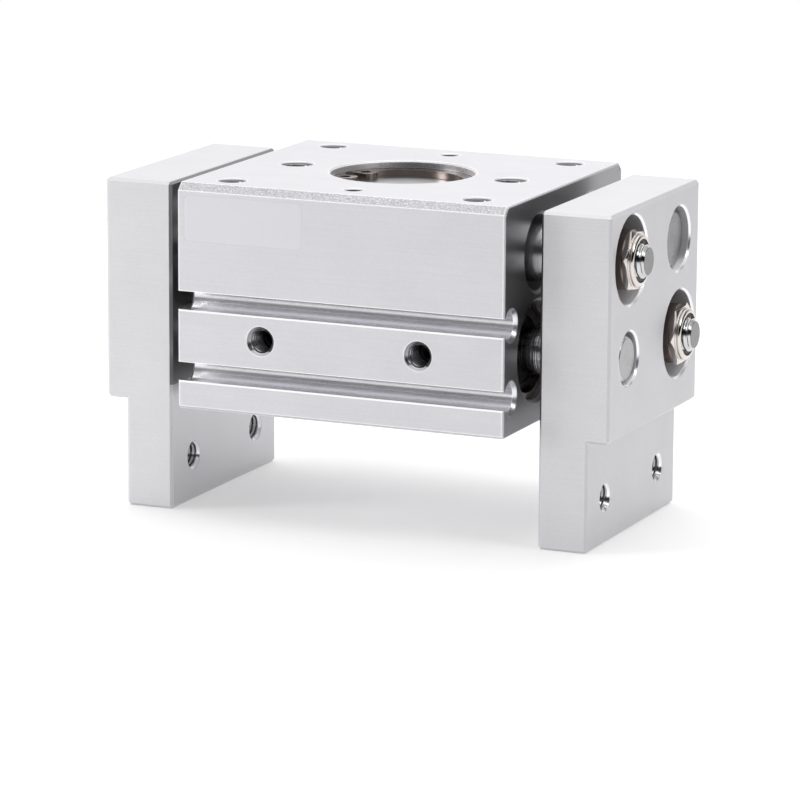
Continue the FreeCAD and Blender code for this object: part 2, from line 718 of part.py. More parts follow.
# The pinion and what it runs on
def involute_outline(teeth, module, angle, thinning, height):
    """Closed edge of a spur wheel, one tooth pointing to -Y."""
    pitch = teeth * module / 2
    base = pitch * math.cos(angle)
    tip = pitch + module
    root = pitch - DEDENDUM * module
    half_tooth = (math.pi * module / 2 - thinning) / 2 / pitch
    start = math.tan(angle) - angle

    def half_angle(radius):
        lean = math.acos(min(1.0, base / radius))
        return half_tooth + start - (math.tan(lean) - lean)

    def point(radius, at):
        return VECTOR(radius * math.cos(at), radius * math.sin(at), height)

    steps = 4
    radii = [base + (tip - base) * step / steps for step in range(steps + 1)]
    edges = []
    step_angle = 2 * math.pi / teeth
    for tooth in range(teeth):
        middle = tooth * step_angle - math.pi / 2
        foot = half_angle(base)
        rising = [point(radius, middle - half_angle(radius)) for radius in radii]
        falling = [point(radius, middle + half_angle(radius)) for radius in reversed(radii)]
        flank = Part.BSplineCurve()
        flank.interpolate(rising)
        far_flank = Part.BSplineCurve()
        far_flank.interpolate(falling)
        tip_arc = Part.Arc(rising[-1], point(tip, middle), falling[0])
        next_foot = middle + step_angle - foot
        root_arc = Part.Arc(point(root, middle + foot), point(root, middle + step_angle / 2),
                            point(root, next_foot))
        edges += [Part.LineSegment(point(root, middle - foot), rising[0]), flank, tip_arc,
                  far_flank, Part.LineSegment(falling[-1], point(root, middle + foot)), root_arc]
    return Part.Wire([edge.toShape() for edge in edges])


def build_pinion():
    """Spur wheel with a bored hub for its bush."""
    pinion = doc.addObject("Part::Feature", "pinion")
    pinion.Label = "pinion"
    outline = involute_outline(int(s.pinion_teeth.value), s.gear_module.value,
                               math.radians(s.pressure_angle.value), s.backlash.value / 2, 0.0)
    wheel = Part.Face(outline).extrude(VECTOR(0, 0, s.pinion_width.value))
    hole = Part.makeCylinder(s.pinion_bush_diameter.value / 2, s.pinion_width.value)
    pinion.Shape = wheel.cut(hole)
    put(pinion, z=pinion_foot)
    return pinion


UPRIGHT = FreeCAD.Rotation(VECTOR(0, 1, 0), -90)


def build_pinion_bush():
    bush = ring("pinion_bush", ZERO, s.pinion_width, s.axle_diameter / 2 + s.running_fit,
                s.pinion_bush_diameter / 2)
    return put(bush, z=pinion_foot, turn=UPRIGHT)


def build_pinion_axle():
    body = new_body("pinion_axle")
    turned(body, "pinion_axle_outline", [
        (axle_foot, 0),
        (axle_foot, s.axle_diameter / 2),
        (axle_top, s.axle_diameter / 2),
        (axle_top, 0),
    ])
    return put(body, turn=UPRIGHT)


def build_thrust_washer():
    washer = ring("pinion_thrust_washer", well_floor, s.thrust_washer_thickness,
                  s.axle_diameter / 2 + s.seat_fit, s.thrust_washer_diameter / 2)
    return put(washer, turn=UPRIGHT)


def build_pinion_cover():
    """Disc that closes the well, with a boss that steadies the axle."""
    body = new_body("pinion_cover")
    outside = s.well_diameter / 2 - s.seat_fit
    boss = s.cover_boss_diameter / 2
    hole = s.axle_diameter / 2 + s.seat_fit
    turned(body, "pinion_cover_outline", [
        (cover_boss_foot, hole),
        (cover_boss_foot, boss),
        (well_seat, boss),
        (well_seat, outside),
        (well_clip_base, outside),
        (well_clip_base, 0),
        (axle_top, 0),
        (axle_top, hole),
    ])
    return put(body, turn=UPRIGHT)


def build_well_circlip():
    clip = build_circlip("pinion_cover_circlip", s.well_diameter, s.well_clip_depth,
                         s.well_clip_thickness, s.well_clip_width, s.well_clip_lug,
                         s.well_clip_spread)
    turn = FreeCAD.Rotation(VECTOR(0, 0, 1), WELL_CLIP_TURN).multiply(UPRIGHT)
    return put(clip, z=well_clip_base + s.circlip_play / 2, turn=turn)


# One jaw with its rack, piston rod and piston, drawn as the right one
def build_jaw(name):
    """Stepped plate: a thick head that holds the rods and a thinner finger below it."""
    body = new_body(name)
    half_width = bore_offset + s.nut_pocket_diameter / 2 + s.jaw_wall
    jaw_top = body_top - s.jaw_top_drop
    outline = new_sketch(body, name + "_outline", "XZ_Plane", (ZERO, ZERO, -half_width))
    finger_face = jaw_inner + s.finger_thickness
    draw_outline(outline, [
        (jaw_inner, 0),
        (finger_face, 0),
        (finger_face, s.finger_height),
        (jaw_outer, s.finger_height),
        (jaw_outer, jaw_top),
        (jaw_inner, jaw_top),
    ])
    plate = pad(body, outline, half_width * 2)

    def outside_edge(edge):
        centre = edge.CenterOfMass
        inner_corner = abs(centre.x - finger_face.value) < 1e-6 \
            and abs(centre.z - s.finger_height.value) < 1e-6
        return not inner_corner

    chamfer_edges(body, name + "_edges", plate, s.jaw_edge, outside_edge)
    edge = s.pocket_edge
    shank = stud_radius + s.stud_clearance
    pocket_radius = s.nut_pocket_diameter / 2
    for label, side, height in (("rack", -rack_offset, rack_level),
                                ("rod", bore_offset, bore_level)):
        bore_along_x(body, name + "_" + label + "_seat", side, height, [
            (jaw_inner, 0),
            (jaw_inner, shank),
            (pocket_floor, shank),
            (pocket_floor, pocket_radius),
            (jaw_outer - edge, pocket_radius),
            (jaw_outer, pocket_radius + edge),
            (jaw_outer, 0),
        ])
    for label, side, height, tail in (("rack", rack_offset, rack_level, rack_radius),
                                      ("rod", -bore_offset, bore_level, rod_radius)):
        room = tail + s.tail_clearance
        bore_along_x(body, name + "_" + label + "_way", side, height, [
            (jaw_inner, 0),
            (jaw_inner, room + edge),
            (jaw_inner + edge, room),
            (jaw_outer - edge, room),
            (jaw_outer, room + edge),
            (jaw_outer, 0),
        ])
    drill = s.tap_drill_5 / 2
    mouth = s.tap_mouth_5 / 2
    sink = mouth - drill
    for label, side in (("front", -1), ("rear", 1)):
        bore_along_x(body, "%s_%s_thread" % (name, label), s.finger_hole_span / 2 * side,
                     s.finger_hole_rise, [
            (jaw_inner, 0),
            (jaw_inner, mouth),
            (jaw_inner + sink, drill),
            (finger_face - sink, drill),
            (finger_face, mouth),
            (finger_face, 0),
        ])
    return body


def shaft_corners(radius, tail_inset):
    """Outline of a rack or rod: free end, long shank, shoulder against the jaw, stud."""
    tail = tail_inset - jaw_outer
    tip = jaw_outer + s.stud_reach
    return [
        (tail, 0),
        (tail, radius - s.tail_chamfer),
        (tail + s.tail_chamfer, radius),
        (jaw_inner, radius),
        (jaw_inner, stud_radius),
        (tip - s.stud_chamfer, stud_radius),
        (tip, stud_radius - s.stud_chamfer),
        (tip, 0),
    ]


def build_rack(name, shift):
    """Round rack, its teeth milled along one side and facing the pinion at +Y."""
    body = new_body(name)
    turned(body, name + "_shank", shaft_corners(rack_radius, s.rack_tail_inset))
    tooth_top = s.rack_pitch_inset + s.gear_module
    tooth_root = s.rack_pitch_inset - s.gear_module * DEDENDUM
    flat_start = -s.stroke - pitch_radius
    above = rack_radius + OVERCUT
    flat = new_sketch(body, name + "_flat", "XY_Plane", (ZERO, ZERO, above))
    draw_outline(flat, [
        (flat_start, tooth_top),
        (pitch_radius, tooth_top),
        (pitch_radius, above),
        (flat_start, above),
    ])
    pocket(body, flat, above * 2)
    slope = s.pressure_angle.tangent()
    half_space = tooth_pitch / 4 + s.backlash / 4

    def half_width(height):
        return half_space + (height - s.rack_pitch_inset) * slope

    spaces_left = int((s.stroke.value + pitch_radius.value) / tooth_pitch.value - 0.5)
    spaces_right = int(pitch_radius.value / tooth_pitch.value - 0.5)
    first = tooth_pitch * -spaces_left + shift
    over = tooth_top + OVERCUT
    space = new_sketch(body, name + "_space", "XY_Plane", (ZERO, ZERO, above))
    draw_outline(space, [
        (first - half_width(tooth_root), tooth_root),
        (first + half_width(tooth_root), tooth_root),
        (first + half_width(over), over),
        (first - half_width(over), over),
    ])
    cut = pocket(body, space, above * 2)
    doc.recompute()
    pattern = body.newObject("PartDesign::LinearPattern", name + "_teeth")
    pattern.Originals = [cut]
    pattern.Direction = (space, ["H_Axis"])
    pattern.Occurrences = spaces_left + spaces_right + 1
    bind(pattern, "Length", tooth_pitch * (spaces_left + spaces_right))
    body.Tip = pattern
    return body


def build_piston_rod(name):
    body = new_body(name)
    turned(body, name + "_outline", shaft_corners(rod_radius, s.rod_tail_inset))
    return body


# A piston in two halves with the ring magnet between them, X from its left end
seal_groove = s.piston_seal_width + s.seal_play
magnet_end = s.piston_length - s.piston_cap_thickness
magnet_start = magnet_end - s.magnet_width - s.magnet_play
piston_radius = s.bore_diameter / 2 - s.piston_clearance


def build_piston(name):
    """Half with the seal groove and the spigot that carries the magnet."""
    body = new_body(name)
    seal_start = (magnet_start - seal_groove) / 2
    spigot = s.magnet_bore / 2 - s.seat_fit
    turned(body, name + "_outline", [
        (0, rod_radius),
        (0, piston_radius),
        (seal_start, piston_radius),
        (seal_start, s.piston_seal_bottom / 2),
        (seal_start + seal_groove, s.piston_seal_bottom / 2),
        (seal_start + seal_groove, piston_radius),
        (magnet_start, piston_radius),
        (magnet_start, spigot),
        (magnet_end, spigot),
        (magnet_end, rod_radius),
    ])
    return body


def build_piston_cap(name):
    return ring(name, magnet_end, s.piston_cap_thickness, rod_radius, piston_radius)


def build_magnet(name):
    return ring(name, magnet_start + s.magnet_play / 2, s.magnet_width, s.magnet_bore / 2,
                s.magnet_diameter / 2)


def build_piston_seal(name):
    return ring(name, (magnet_start - s.piston_seal_width) / 2, s.piston_seal_width,
                s.piston_seal_bottom / 2, s.bore_diameter / 2 - s.running_fit)


def build_nut(name):
    """Thin lock nut: a six-sided part with turned-off corners and a round collar."""
    body = new_body(name)
    corner = s.nut_flats / 2 / math.cos(math.radians(CORNER_ANGLE))
    hexagon = new_sketch(body, name + "_hexagon", "YZ_Plane")
    draw_outline(hexagon, [
        (corner * math.cos(math.radians(angle)), corner * math.sin(math.radians(angle)))
        for angle in range(0, 360, 60)])
    pad(body, hexagon, s.nut_hex_height)
    cut = s.nut_corner_chamfer
    slope = math.tan(math.radians(CORNER_ANGLE))
    bevel = new_sketch(body, name + "_corners", "XZ_Plane")
    draw_outline(bevel, [
        (s.nut_hex_height, corner - cut / slope),
        (s.nut_hex_height, corner + cut / slope),
        (s.nut_hex_height - cut * 2, corner + cut / slope),
    ])
    turn_solid(body, bevel, "PartDesign::Groove")
    collar = s.nut_collar_diameter / 2
    turned(body, name + "_collar", [
        (s.nut_hex_height, 0),
        (s.nut_hex_height, collar),
        (s.nut_height - cut, collar),
        (s.nut_height, collar - cut),
        (s.nut_height, 0),
    ])
    hole = new_sketch(body, name + "_thread", "YZ_Plane")
    draw_circles(hole, [(0, 0, stud_radius)])
    pocket(body, hole, s.nut_height, reverse=True)
    return body


def build_spacer(name):
    """Plain spacer that carries the nut's load to the floor of its pocket."""
    return ring(name, pocket_floor, jaw_outer - s.nut_inset - pocket_floor,
                stud_radius + s.stud_clearance, s.spacer_diameter / 2)


def build_jaw_set(tag, half_turn):
    """A jaw and all that moves with it. The left set is the right one, half a turn round."""
    odd_teeth = int(s.pinion_teeth.value) % 2
    shift = tooth_pitch / 2 if half_turn and odd_teeth else ZERO
    nut_seat = jaw_outer - s.nut_inset
    piston_start = -s.stroke / 2 - s.piston_length / 2
    at_rack = (-rack_offset, rack_level)
    at_rod = (bore_offset, bore_level)
    pieces = [
        put(build_jaw(tag + "_jaw"), half_turn=half_turn),
        put(build_rack(tag + "_rack", shift), ZERO, *at_rack, half_turn=half_turn),
        put(build_piston_rod(tag + "_piston_rod"), ZERO, *at_rod, half_turn=half_turn),
    ]
    for build, name in ((build_piston, "piston"), (build_piston_cap, "piston_cap"),
                        (build_magnet, "piston_magnet"), (build_piston_seal, "piston_seal")):
        pieces.append(put(build("%s_%s" % (tag, name)), piston_start, *at_rod,
                          half_turn=half_turn))
    for label, place in (("rack", at_rack), ("rod", at_rod)):
        pieces.append(put(build_spacer("%s_%s_spacer" % (tag, label)), ZERO, *place,
                          half_turn=half_turn))
        pieces.append(put(build_nut("%s_%s_nut" % (tag, label)), nut_seat, *place,
                          half_turn=half_turn))
    return pieces


# Build every piece, test it, then write it
parts = [build_housing(), build_plugs()]
parts += build_cylinder_ends()
parts += [build_pinion(), build_pinion_bush(), build_pinion_axle(), build_thrust_washer(),
          build_pinion_cover(), build_well_circlip()]
parts += build_jaw_set("right", False)
parts += build_jaw_set("left", True)
doc.recompute()

for item in doc.Objects:
    if "Invalid" in item.State or "Error" in item.State:
        raise RuntimeError("%s failed to build" % item.Label)
for part in parts:
    if part.Shape.isNull() or not part.Shape.isValid():
        raise RuntimeError("%s has no valid shape" % part.Label)

os.makedirs("parts", exist_ok=True)
for part in parts:
    part.Shape.exportStep(os.path.join("parts", part.Label + ".step"))
print("%d pieces written" % len(parts))
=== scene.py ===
# %% [markdown]
# # A parallel gripper for a robot arm
# The gripper is a block of anodised aluminium with a jaw on each side. Air moves the jaws on round
# steel rods. The solids are already made to size, so this lesson dresses them: every surface gets
# its finish, and the small turned and threaded details are modelled.

# %% Load the solids that everything is built around
import json
import math
import bpy
from mathutils import Matrix, Quaternion, Vector


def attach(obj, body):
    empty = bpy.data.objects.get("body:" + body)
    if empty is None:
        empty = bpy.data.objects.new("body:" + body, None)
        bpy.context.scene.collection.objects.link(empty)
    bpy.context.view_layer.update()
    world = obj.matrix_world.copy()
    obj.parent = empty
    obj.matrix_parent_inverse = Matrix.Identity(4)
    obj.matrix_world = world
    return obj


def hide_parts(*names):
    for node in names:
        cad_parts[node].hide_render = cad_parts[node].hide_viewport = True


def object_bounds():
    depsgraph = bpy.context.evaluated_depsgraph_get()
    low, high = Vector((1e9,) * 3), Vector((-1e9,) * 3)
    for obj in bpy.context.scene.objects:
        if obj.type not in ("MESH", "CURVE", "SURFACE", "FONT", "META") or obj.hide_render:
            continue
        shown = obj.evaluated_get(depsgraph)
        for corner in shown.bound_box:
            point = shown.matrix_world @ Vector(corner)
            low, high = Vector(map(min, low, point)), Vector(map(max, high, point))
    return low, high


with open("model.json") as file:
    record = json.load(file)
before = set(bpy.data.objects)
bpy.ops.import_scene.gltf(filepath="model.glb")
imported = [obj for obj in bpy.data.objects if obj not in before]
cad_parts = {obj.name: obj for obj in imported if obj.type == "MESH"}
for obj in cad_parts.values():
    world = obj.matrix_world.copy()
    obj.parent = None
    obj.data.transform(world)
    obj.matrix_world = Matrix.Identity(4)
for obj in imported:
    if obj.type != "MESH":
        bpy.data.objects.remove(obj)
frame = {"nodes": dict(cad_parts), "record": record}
NODES = frame["nodes"]
RECORD = frame["record"]
CAD_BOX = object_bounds()
MM = 0.001


def mount(name):
    return next(item for item in RECORD["mounts"] if item["name"] == name)


def half_span(name, direction):
    """Half of the distance between a mount's holes along its x or y direction."""
    return mount(name)["dims"]["spacing_%s_mm" % direction] / 2 * MM


print("solids:", len(NODES), "box:", [tuple(round(v, 4) for v in corner) for corner in CAD_BOX])


# %% [markdown]
# ## The camera
# A product photographer stands well back with a long lens, so that the edges of the block stay
# nearly parallel. The camera is given by the point that it looks at, two angles and a distance,
# because those are the numbers that one changes when matching a photograph.

# %% Camera
AIM = Vector((-0.0003, 0.0, 0.0184))
AZIMUTH = math.radians(23.53)
ELEVATION = math.radians(12.07)
ROLL = math.radians(0.34)
DISTANCE = 0.793
LENS = 205.6


def place_camera():
    level = math.cos(ELEVATION)
    towards = Vector((math.sin(AZIMUTH) * level, -math.cos(AZIMUTH) * level, math.sin(ELEVATION)))
    camera = bpy.data.objects.new("camera", bpy.data.cameras.new("camera"))
    camera.location = AIM + towards * DISTANCE
    look = (-towards).to_track_quat("-Z", "Y")
    camera.rotation_mode = "QUATERNION"
    camera.rotation_quaternion = look @ Quaternion((0, 0, 1), ROLL)
    camera.data.lens = LENS
    camera.data.clip_end = 20
    bpy.context.scene.collection.objects.link(camera)
    bpy.context.scene.camera = camera
    return camera


print("camera at", tuple(round(v, 4) for v in place_camera().location))


# %% [markdown]
# ## Helpers for node trees
# A material is a small graph. Two helpers keep each one readable: one adds a node with its inputs,
# and one does arithmetic. A third opens a node group, which is how an effect that several finishes
# share is written once.

# %% Node helpers
def add(tree, kind, inputs=None, **settings):
    """A node with its settings, and its inputs given as numbers or as sockets to link."""
    node = tree.nodes.new(kind)
    for name, value in settings.items():
        setattr(node, name, value)
    for name, value in (inputs or {}).items():
        feed(tree, node.inputs[name], value)
    return node


def feed(tree, socket, value):
    if isinstance(value, bpy.types.NodeSocket):
        tree.links.new(value, socket)
    else:
        socket.default_value = value


def calc(tree, operation, *values):
    node = add(tree, "ShaderNodeMath", operation=operation)
    for socket, value in zip(node.inputs, values):
        feed(tree, socket, value)
    return node.outputs[0]


def remap(tree, value, low, high, to_low=0.0, to_high=1.0):
    """Bring a value from one span to another, smoothly and without going past its ends."""
    node = add(tree, "ShaderNodeMapRange", {"Value": value, "From Min": low, "From Max": high,
               "To Min": to_low, "To Max": to_high}, interpolation_type="SMOOTHSTEP")
    return node.outputs["Result"]


def open_group(name, inputs, outputs):
    """A new shader group with its sockets, as (tree, inputs by name, output node)."""
    tree = bpy.data.node_groups.new(name, "ShaderNodeTree")
    for title, kind in inputs.items():
        tree.interface.new_socket(title, in_out="INPUT", socket_type=kind)
    for title, kind in outputs.items():
        tree.interface.new_socket(title, in_out="OUTPUT", socket_type=kind)
    start = tree.nodes.new("NodeGroupInput")
    return tree, start.outputs, tree.nodes.new("NodeGroupOutput")


def use_group(tree, group, **inputs):
    node = add(tree, "ShaderNodeGroup", node_tree=group)
    for name, value in inputs.items():
        feed(tree, node.inputs[name], value)
    return node.outputs


NUMBER = "NodeSocketFloat"
ARROW = "NodeSocketVector"


# %% [markdown]
# ## Effects that several finishes share
# Blasted aluminium has a fine even grain, extruded aluminium has long faint draw lines, and turned
# parts have rings round their axis. Edges catch the light, which the finishes paint as a brighter
# colour along them: a painted highlight. Each of these is a group that puts out plain values, and
# every finish decides how much of each it wants.

# %% Fine grain of a blasted surface
CLOUD_SHARE = 0.03


def make_grain():
    """Fine is the grain itself, and Cloud is how unevenly it took over a wide stretch."""
    tree, given, result = open_group("blasted_grain", {"Vector": ARROW, "Scale": NUMBER},
                                     {"Fine": NUMBER, "Cloud": NUMBER})
    fine = add(tree, "ShaderNodeTexNoise", {"Vector": given["Vector"], "Scale": given["Scale"],
               "Detail": 2.0, "Roughness": 0.6})
    wide = calc(tree, "MULTIPLY", given["Scale"], CLOUD_SHARE)
    cloud = add(tree, "ShaderNodeTexNoise", {"Vector": given["Vector"], "Scale": wide,
                "Detail": 3.0})
    feed(tree, result.inputs["Fine"], fine.outputs[0])
    feed(tree, result.inputs["Cloud"], cloud.outputs[0])
    return tree


# %% Draw lines along the extrusion
STRETCH = 0.012


def make_draw_lines():
    """Noise that is stretched a long way along X, the direction in which the block was drawn."""
    tree, given, result = open_group("draw_lines", {"Vector": ARROW, "Scale": NUMBER},
                                     {"Lines": NUMBER})
    stretched = add(tree, "ShaderNodeMapping", {"Vector": given["Vector"],
                    "Scale": (STRETCH, 1, 1)})
    noise = add(tree, "ShaderNodeTexNoise", {"Vector": stretched.outputs[0],
                "Scale": given["Scale"], "Detail": 3.0, "Roughness": 0.7})
    feed(tree, result.inputs["Lines"], noise.outputs[0])
    return tree


# %% Rings that a lathe tool leaves
def make_turning_rings():
    """Rings round the X axis through the centre that is taken off the vector first."""
    tree, given, result = open_group("turning_rings", {"Vector": ARROW, "Centre": ARROW,
                                     "Scale": NUMBER}, {"Rings": NUMBER})
    local = add(tree, "ShaderNodeVectorMath", operation="SUBTRACT")
    feed(tree, local.inputs[0], given["Vector"])
    feed(tree, local.inputs[1], given["Centre"])
    parts = add(tree, "ShaderNodeSeparateXYZ", {"Vector": local.outputs[0]})
    squared = calc(tree, "ADD", calc(tree, "POWER", parts.outputs["Y"], 2.0),
                   calc(tree, "POWER", parts.outputs["Z"], 2.0))
    radius = calc(tree, "SQRT", squared)
    along = add(tree, "ShaderNodeCombineXYZ", {"X": parts.outputs["X"], "Y": radius})
    noise = add(tree, "ShaderNodeTexNoise", {"Vector": along.outputs[0], "Scale": given["Scale"],
                "Detail": 2.0, "Roughness": 0.8})
    feed(tree, result.inputs["Rings"], noise.outputs[0])
    return tree


# %% Light caught by edges
FLAT_COSINE, EDGE_COSINE = 0.999, 0.95


def make_edge_catch():
    """1 along outer edges and 0 on open faces, with the softened normal that finds them."""
    tree, given, result = open_group("edge_catch", {"Radius": NUMBER},
                                     {"Edge": NUMBER, "Normal": ARROW})
    soft = add(tree, "ShaderNodeBevel", {"Radius": given["Radius"]}, samples=8)
    surface = add(tree, "ShaderNodeNewGeometry")
    dot = add(tree, "ShaderNodeVectorMath", operation="DOT_PRODUCT")
    feed(tree, dot.inputs[0], soft.outputs[0])
    feed(tree, dot.inputs[1], surface.outputs["Normal"])
    edge = remap(tree, dot.outputs["Value"], FLAT_COSINE, EDGE_COSINE)
    feed(tree, result.inputs["Edge"], edge)
    feed(tree, result.inputs["Normal"], soft.outputs[0])
    return tree


GRAIN = make_grain()
DRAW_LINES = make_draw_lines()
TURNING_RINGS = make_turning_rings()
EDGE_CATCH = make_edge_catch()
print("shared effects:", [group.name for group in bpy.data.node_groups])


# %% [markdown]
# ## Where a finish changes along one solid
# The block is one piece of metal, but its faces were made in different ways: the long faces are
# blasted, the end faces are milled, the grooves keep the smooth skin of the extrusion, and the
# round recesses are turned. Some regions also carry painted light and shade in their tone: painted
# shade on the end faces and in the holes, a painted dark reflection band and a painted highlight at
# the grooves, a painted reflection in the well, painted highlights on the jaws' rims, and painted
# shade and light in the jaws' recesses and on their inner faces. A mask that is 1 inside a region
# lets one material hold all of these. Each mask is a distance from a plane or from an axis, so it
# stays put when the part is seen from another side.

# %% Masks
def make_axis_distance():
    """Distance from a line through a centre. Across is 0 along the line and 1 across it."""
    tree, given, result = open_group("axis_distance", {"Vector": ARROW, "Centre": ARROW,
                                     "Across": ARROW}, {"Distance": NUMBER})
    local = add(tree, "ShaderNodeVectorMath", operation="SUBTRACT")
    feed(tree, local.inputs[0], given["Vector"])
    feed(tree, local.inputs[1], given["Centre"])
    across = add(tree, "ShaderNodeVectorMath", operation="MULTIPLY")
    feed(tree, across.inputs[0], local.outputs[0])
    feed(tree, across.inputs[1], given["Across"])
    length = add(tree, "ShaderNodeVectorMath", operation="LENGTH")
    feed(tree, length.inputs[0], across.outputs[0])
    feed(tree, result.inputs["Distance"], length.outputs["Value"])
    return tree


AXIS_DISTANCE = make_axis_distance()
ACROSS = {"X": (0, 1, 1), "Y": (1, 0, 1), "Z": (1, 1, 0)}
SHARP = 0.05 * MM


def from_axis(tree, place, axis, centre):
    return use_group(tree, AXIS_DISTANCE, Vector=place, Centre=centre,
                     Across=ACROSS[axis])["Distance"]


def beyond(tree, value, limit):
    """1 where the value is over the limit, with a narrow soft step."""
    return remap(tree, value, limit - SHARP, limit + SHARP)


def within(tree, value, limit):
    return remap(tree, value, limit - SHARP, limit + SHARP, 1.0, 0.0)


def both(tree, first, second):
    return calc(tree, "MULTIPLY", first, second)


def either(tree, first, second):
    return calc(tree, "MAXIMUM", first, second)


def mirrored(tree, place):
    """The coordinates with X and Y made positive, and Z as it is."""
    node = add(tree, "ShaderNodeVectorMath", operation="ABSOLUTE")
    feed(tree, node.inputs[0], place)
    return node.outputs[0]


print("masks use", AXIS_DISTANCE.name)


# %% [markdown]
# ## Clear anodised aluminium
# The oxide layer is clear, so the part keeps the colour of the metal, but blasting before the bath
# makes it scatter light like frosted glass. That is a metal with a high roughness. The grain shows
# as a slight change of roughness and tone, and edges get a painted highlight: their colour is made
# brighter. Places that were cut later are smoother, so they mirror the dark and bright parts of the
# room; several of the listed places also carry painted light or shade in their tone. Each of them
# is listed with its mask and its own tone, roughness and share of metal.

# %% A finish and its base
EDGE_RADIUS = 0.32 * MM
FINE_EDGE = 0.06 * MM
BLASTED_SCALE = 3500.0
LINE_SCALE = 5000.0
ALUMINIUM_METALLIC = 0.85


def start_material(name, metallic, roughness):
    """An empty finish: (material, tree, its shader, its object coordinates)."""
    material = bpy.data.materials.new(name)
    material.use_nodes = True
    tree = material.node_tree
    shader = tree.nodes["Principled BSDF"]
    shader.inputs["Metallic"].default_value = metallic
    shader.inputs["Roughness"].default_value = roughness
    place = add(tree, "ShaderNodeTexCoord").outputs["Object"]
    return material, tree, shader, place


def vary(tree, value, middle, swing):
    """Turn a noise value into a number that swings about a middle."""
    return calc(tree, "MULTIPLY_ADD", calc(tree, "SUBTRACT", value, 0.5), swing * 2, middle)


def grey_shade(tree, tone, tint):
    """A tint whose brightness follows a value."""
    node = add(tree, "ShaderNodeVectorMath", operation="SCALE")
    node.inputs[0].default_value = tint
    feed(tree, node.inputs["Scale"], tone)
    return node.outputs[0]


def mix_number(tree, mask, first, second):
    node = add(tree, "ShaderNodeMix", data_type="FLOAT")
    feed(tree, node.inputs["Factor"], mask)
    feed(tree, node.inputs[2], first)
    feed(tree, node.inputs[3], second)
    return node.outputs[0]


def anodised(name, tint, find_regions, edge_highlight_gain=0.1):
    """Blasted metal. find_regions lists its cut places and its places of painted light and shade as
    (mask, tone, roughness, metallic). The last argument sets a painted highlight along edges.
    """
    material, tree, shader, place = start_material(name, ALUMINIUM_METALLIC, 0.5)
    grain = use_group(tree, GRAIN, Vector=place, Scale=BLASTED_SCALE)
    drawn = use_group(tree, DRAW_LINES, Vector=place, Scale=LINE_SCALE)["Lines"]
    tone = vary(tree, grain["Fine"], 1.0, 0.07)
    tone = calc(tree, "MULTIPLY", tone, vary(tree, grain["Cloud"], 1.0, 0.04))
    tone = calc(tree, "MULTIPLY", tone, vary(tree, drawn, 1.0, 0.06))
    rough = vary(tree, grain["Fine"], 0.5, 0.08)
    metallic = ALUMINIUM_METALLIC
    for mask, cut_tone, cut_rough, cut_metallic in find_regions(tree, place, grain["Fine"]):
        tone = calc(tree, "MULTIPLY", tone, mix_number(tree, mask, 1.0, cut_tone))
        rough = mix_number(tree, mask, rough, cut_rough)
        metallic = mix_number(tree, mask, metallic, cut_metallic)
    # Painted highlight: the colour is made brighter along edges, by the gain given last.
    edges = use_group(tree, EDGE_CATCH, Radius=EDGE_RADIUS)
    tone = calc(tree, "MULTIPLY", tone, calc(tree, "MULTIPLY_ADD", edges["Edge"], edge_highlight_gain, 1.0))
    feed(tree, shader.inputs["Base Color"], grey_shade(tree, tone, tint))
    feed(tree, shader.inputs["Roughness"], rough)
    feed(tree, shader.inputs["Metallic"], metallic)
    bump = add(tree, "ShaderNodeBump", {"Height": grain["Fine"], "Distance": 0.004 * MM,
               "Strength": 0.5})
    feed(tree, shader.inputs["Normal"], bump.outputs[0])
    return material


# %% Where the block is not blasted: places
BLOCK_END = 30.0 * MM
BLOCK_FRONT, BLOCK_TOP = CAD_BOX[1][1], CAD_BOX[1][2]
TOP_CHAMFER = 1.3 * MM
GROOVE_ASIDE = 23.75 * MM
GROOVE_HEIGHTS = (26.0 * MM, 38.3 * MM)
GROOVE_REACH = 3.1 * MM
DARK_BAND_LEVEL, BAND_CORE, BAND_EDGE = -0.67 * MM, 0.1 * MM, 0.4 * MM
LIP_TOP, LIP_BASE = -1.6 * MM, -1.9 * MM
WELL_RADIUS = 13.2 * MM
WELL_BASE = 50.0 * MM
WELL_SHADE_X, WELL_LIGHT_X = 3 * MM, 11 * MM
CORNER_X, CORNER_Y = half_span("mounting_threads", "x"), half_span("mounting_threads", "y")
MIDDLE_X = half_span("middle_threads", "x")
DOWEL_Y = half_span("dowel_holes", "y")
TOP_HOLES = ((CORNER_X, CORNER_Y, 2.6 * MM), (MIDDLE_X, 0, 3.0 * MM), (0, DOWEL_Y, 1.6 * MM))
PORT_X, PORT_Z = mount("opening_port")["pos_m"][0], mount("opening_port")["pos_m"][2]
PORT_REACH, PORT_SILL = 2.5 * MM, 1.7 * MM
MOUTH = 0.24 * MM
HOLE_BASE = 45.0 * MM

# %% Where the block is not blasted or carries painted light and shade: masks, each with its tone, roughness and share of metal
MILLED_END_SHADE = (0.46, 0.3, 0.85)
DRAWN_SKIN = (1.2, 0.27, 0.85)
LIP_HIGHLIGHT = (1.4, 0.3, 0.85)
PORT_SHADE = (0.45, 0.25, 0.9)
TAPPED_HOLE_SHADE = (0.25, 0.35, 0.9)


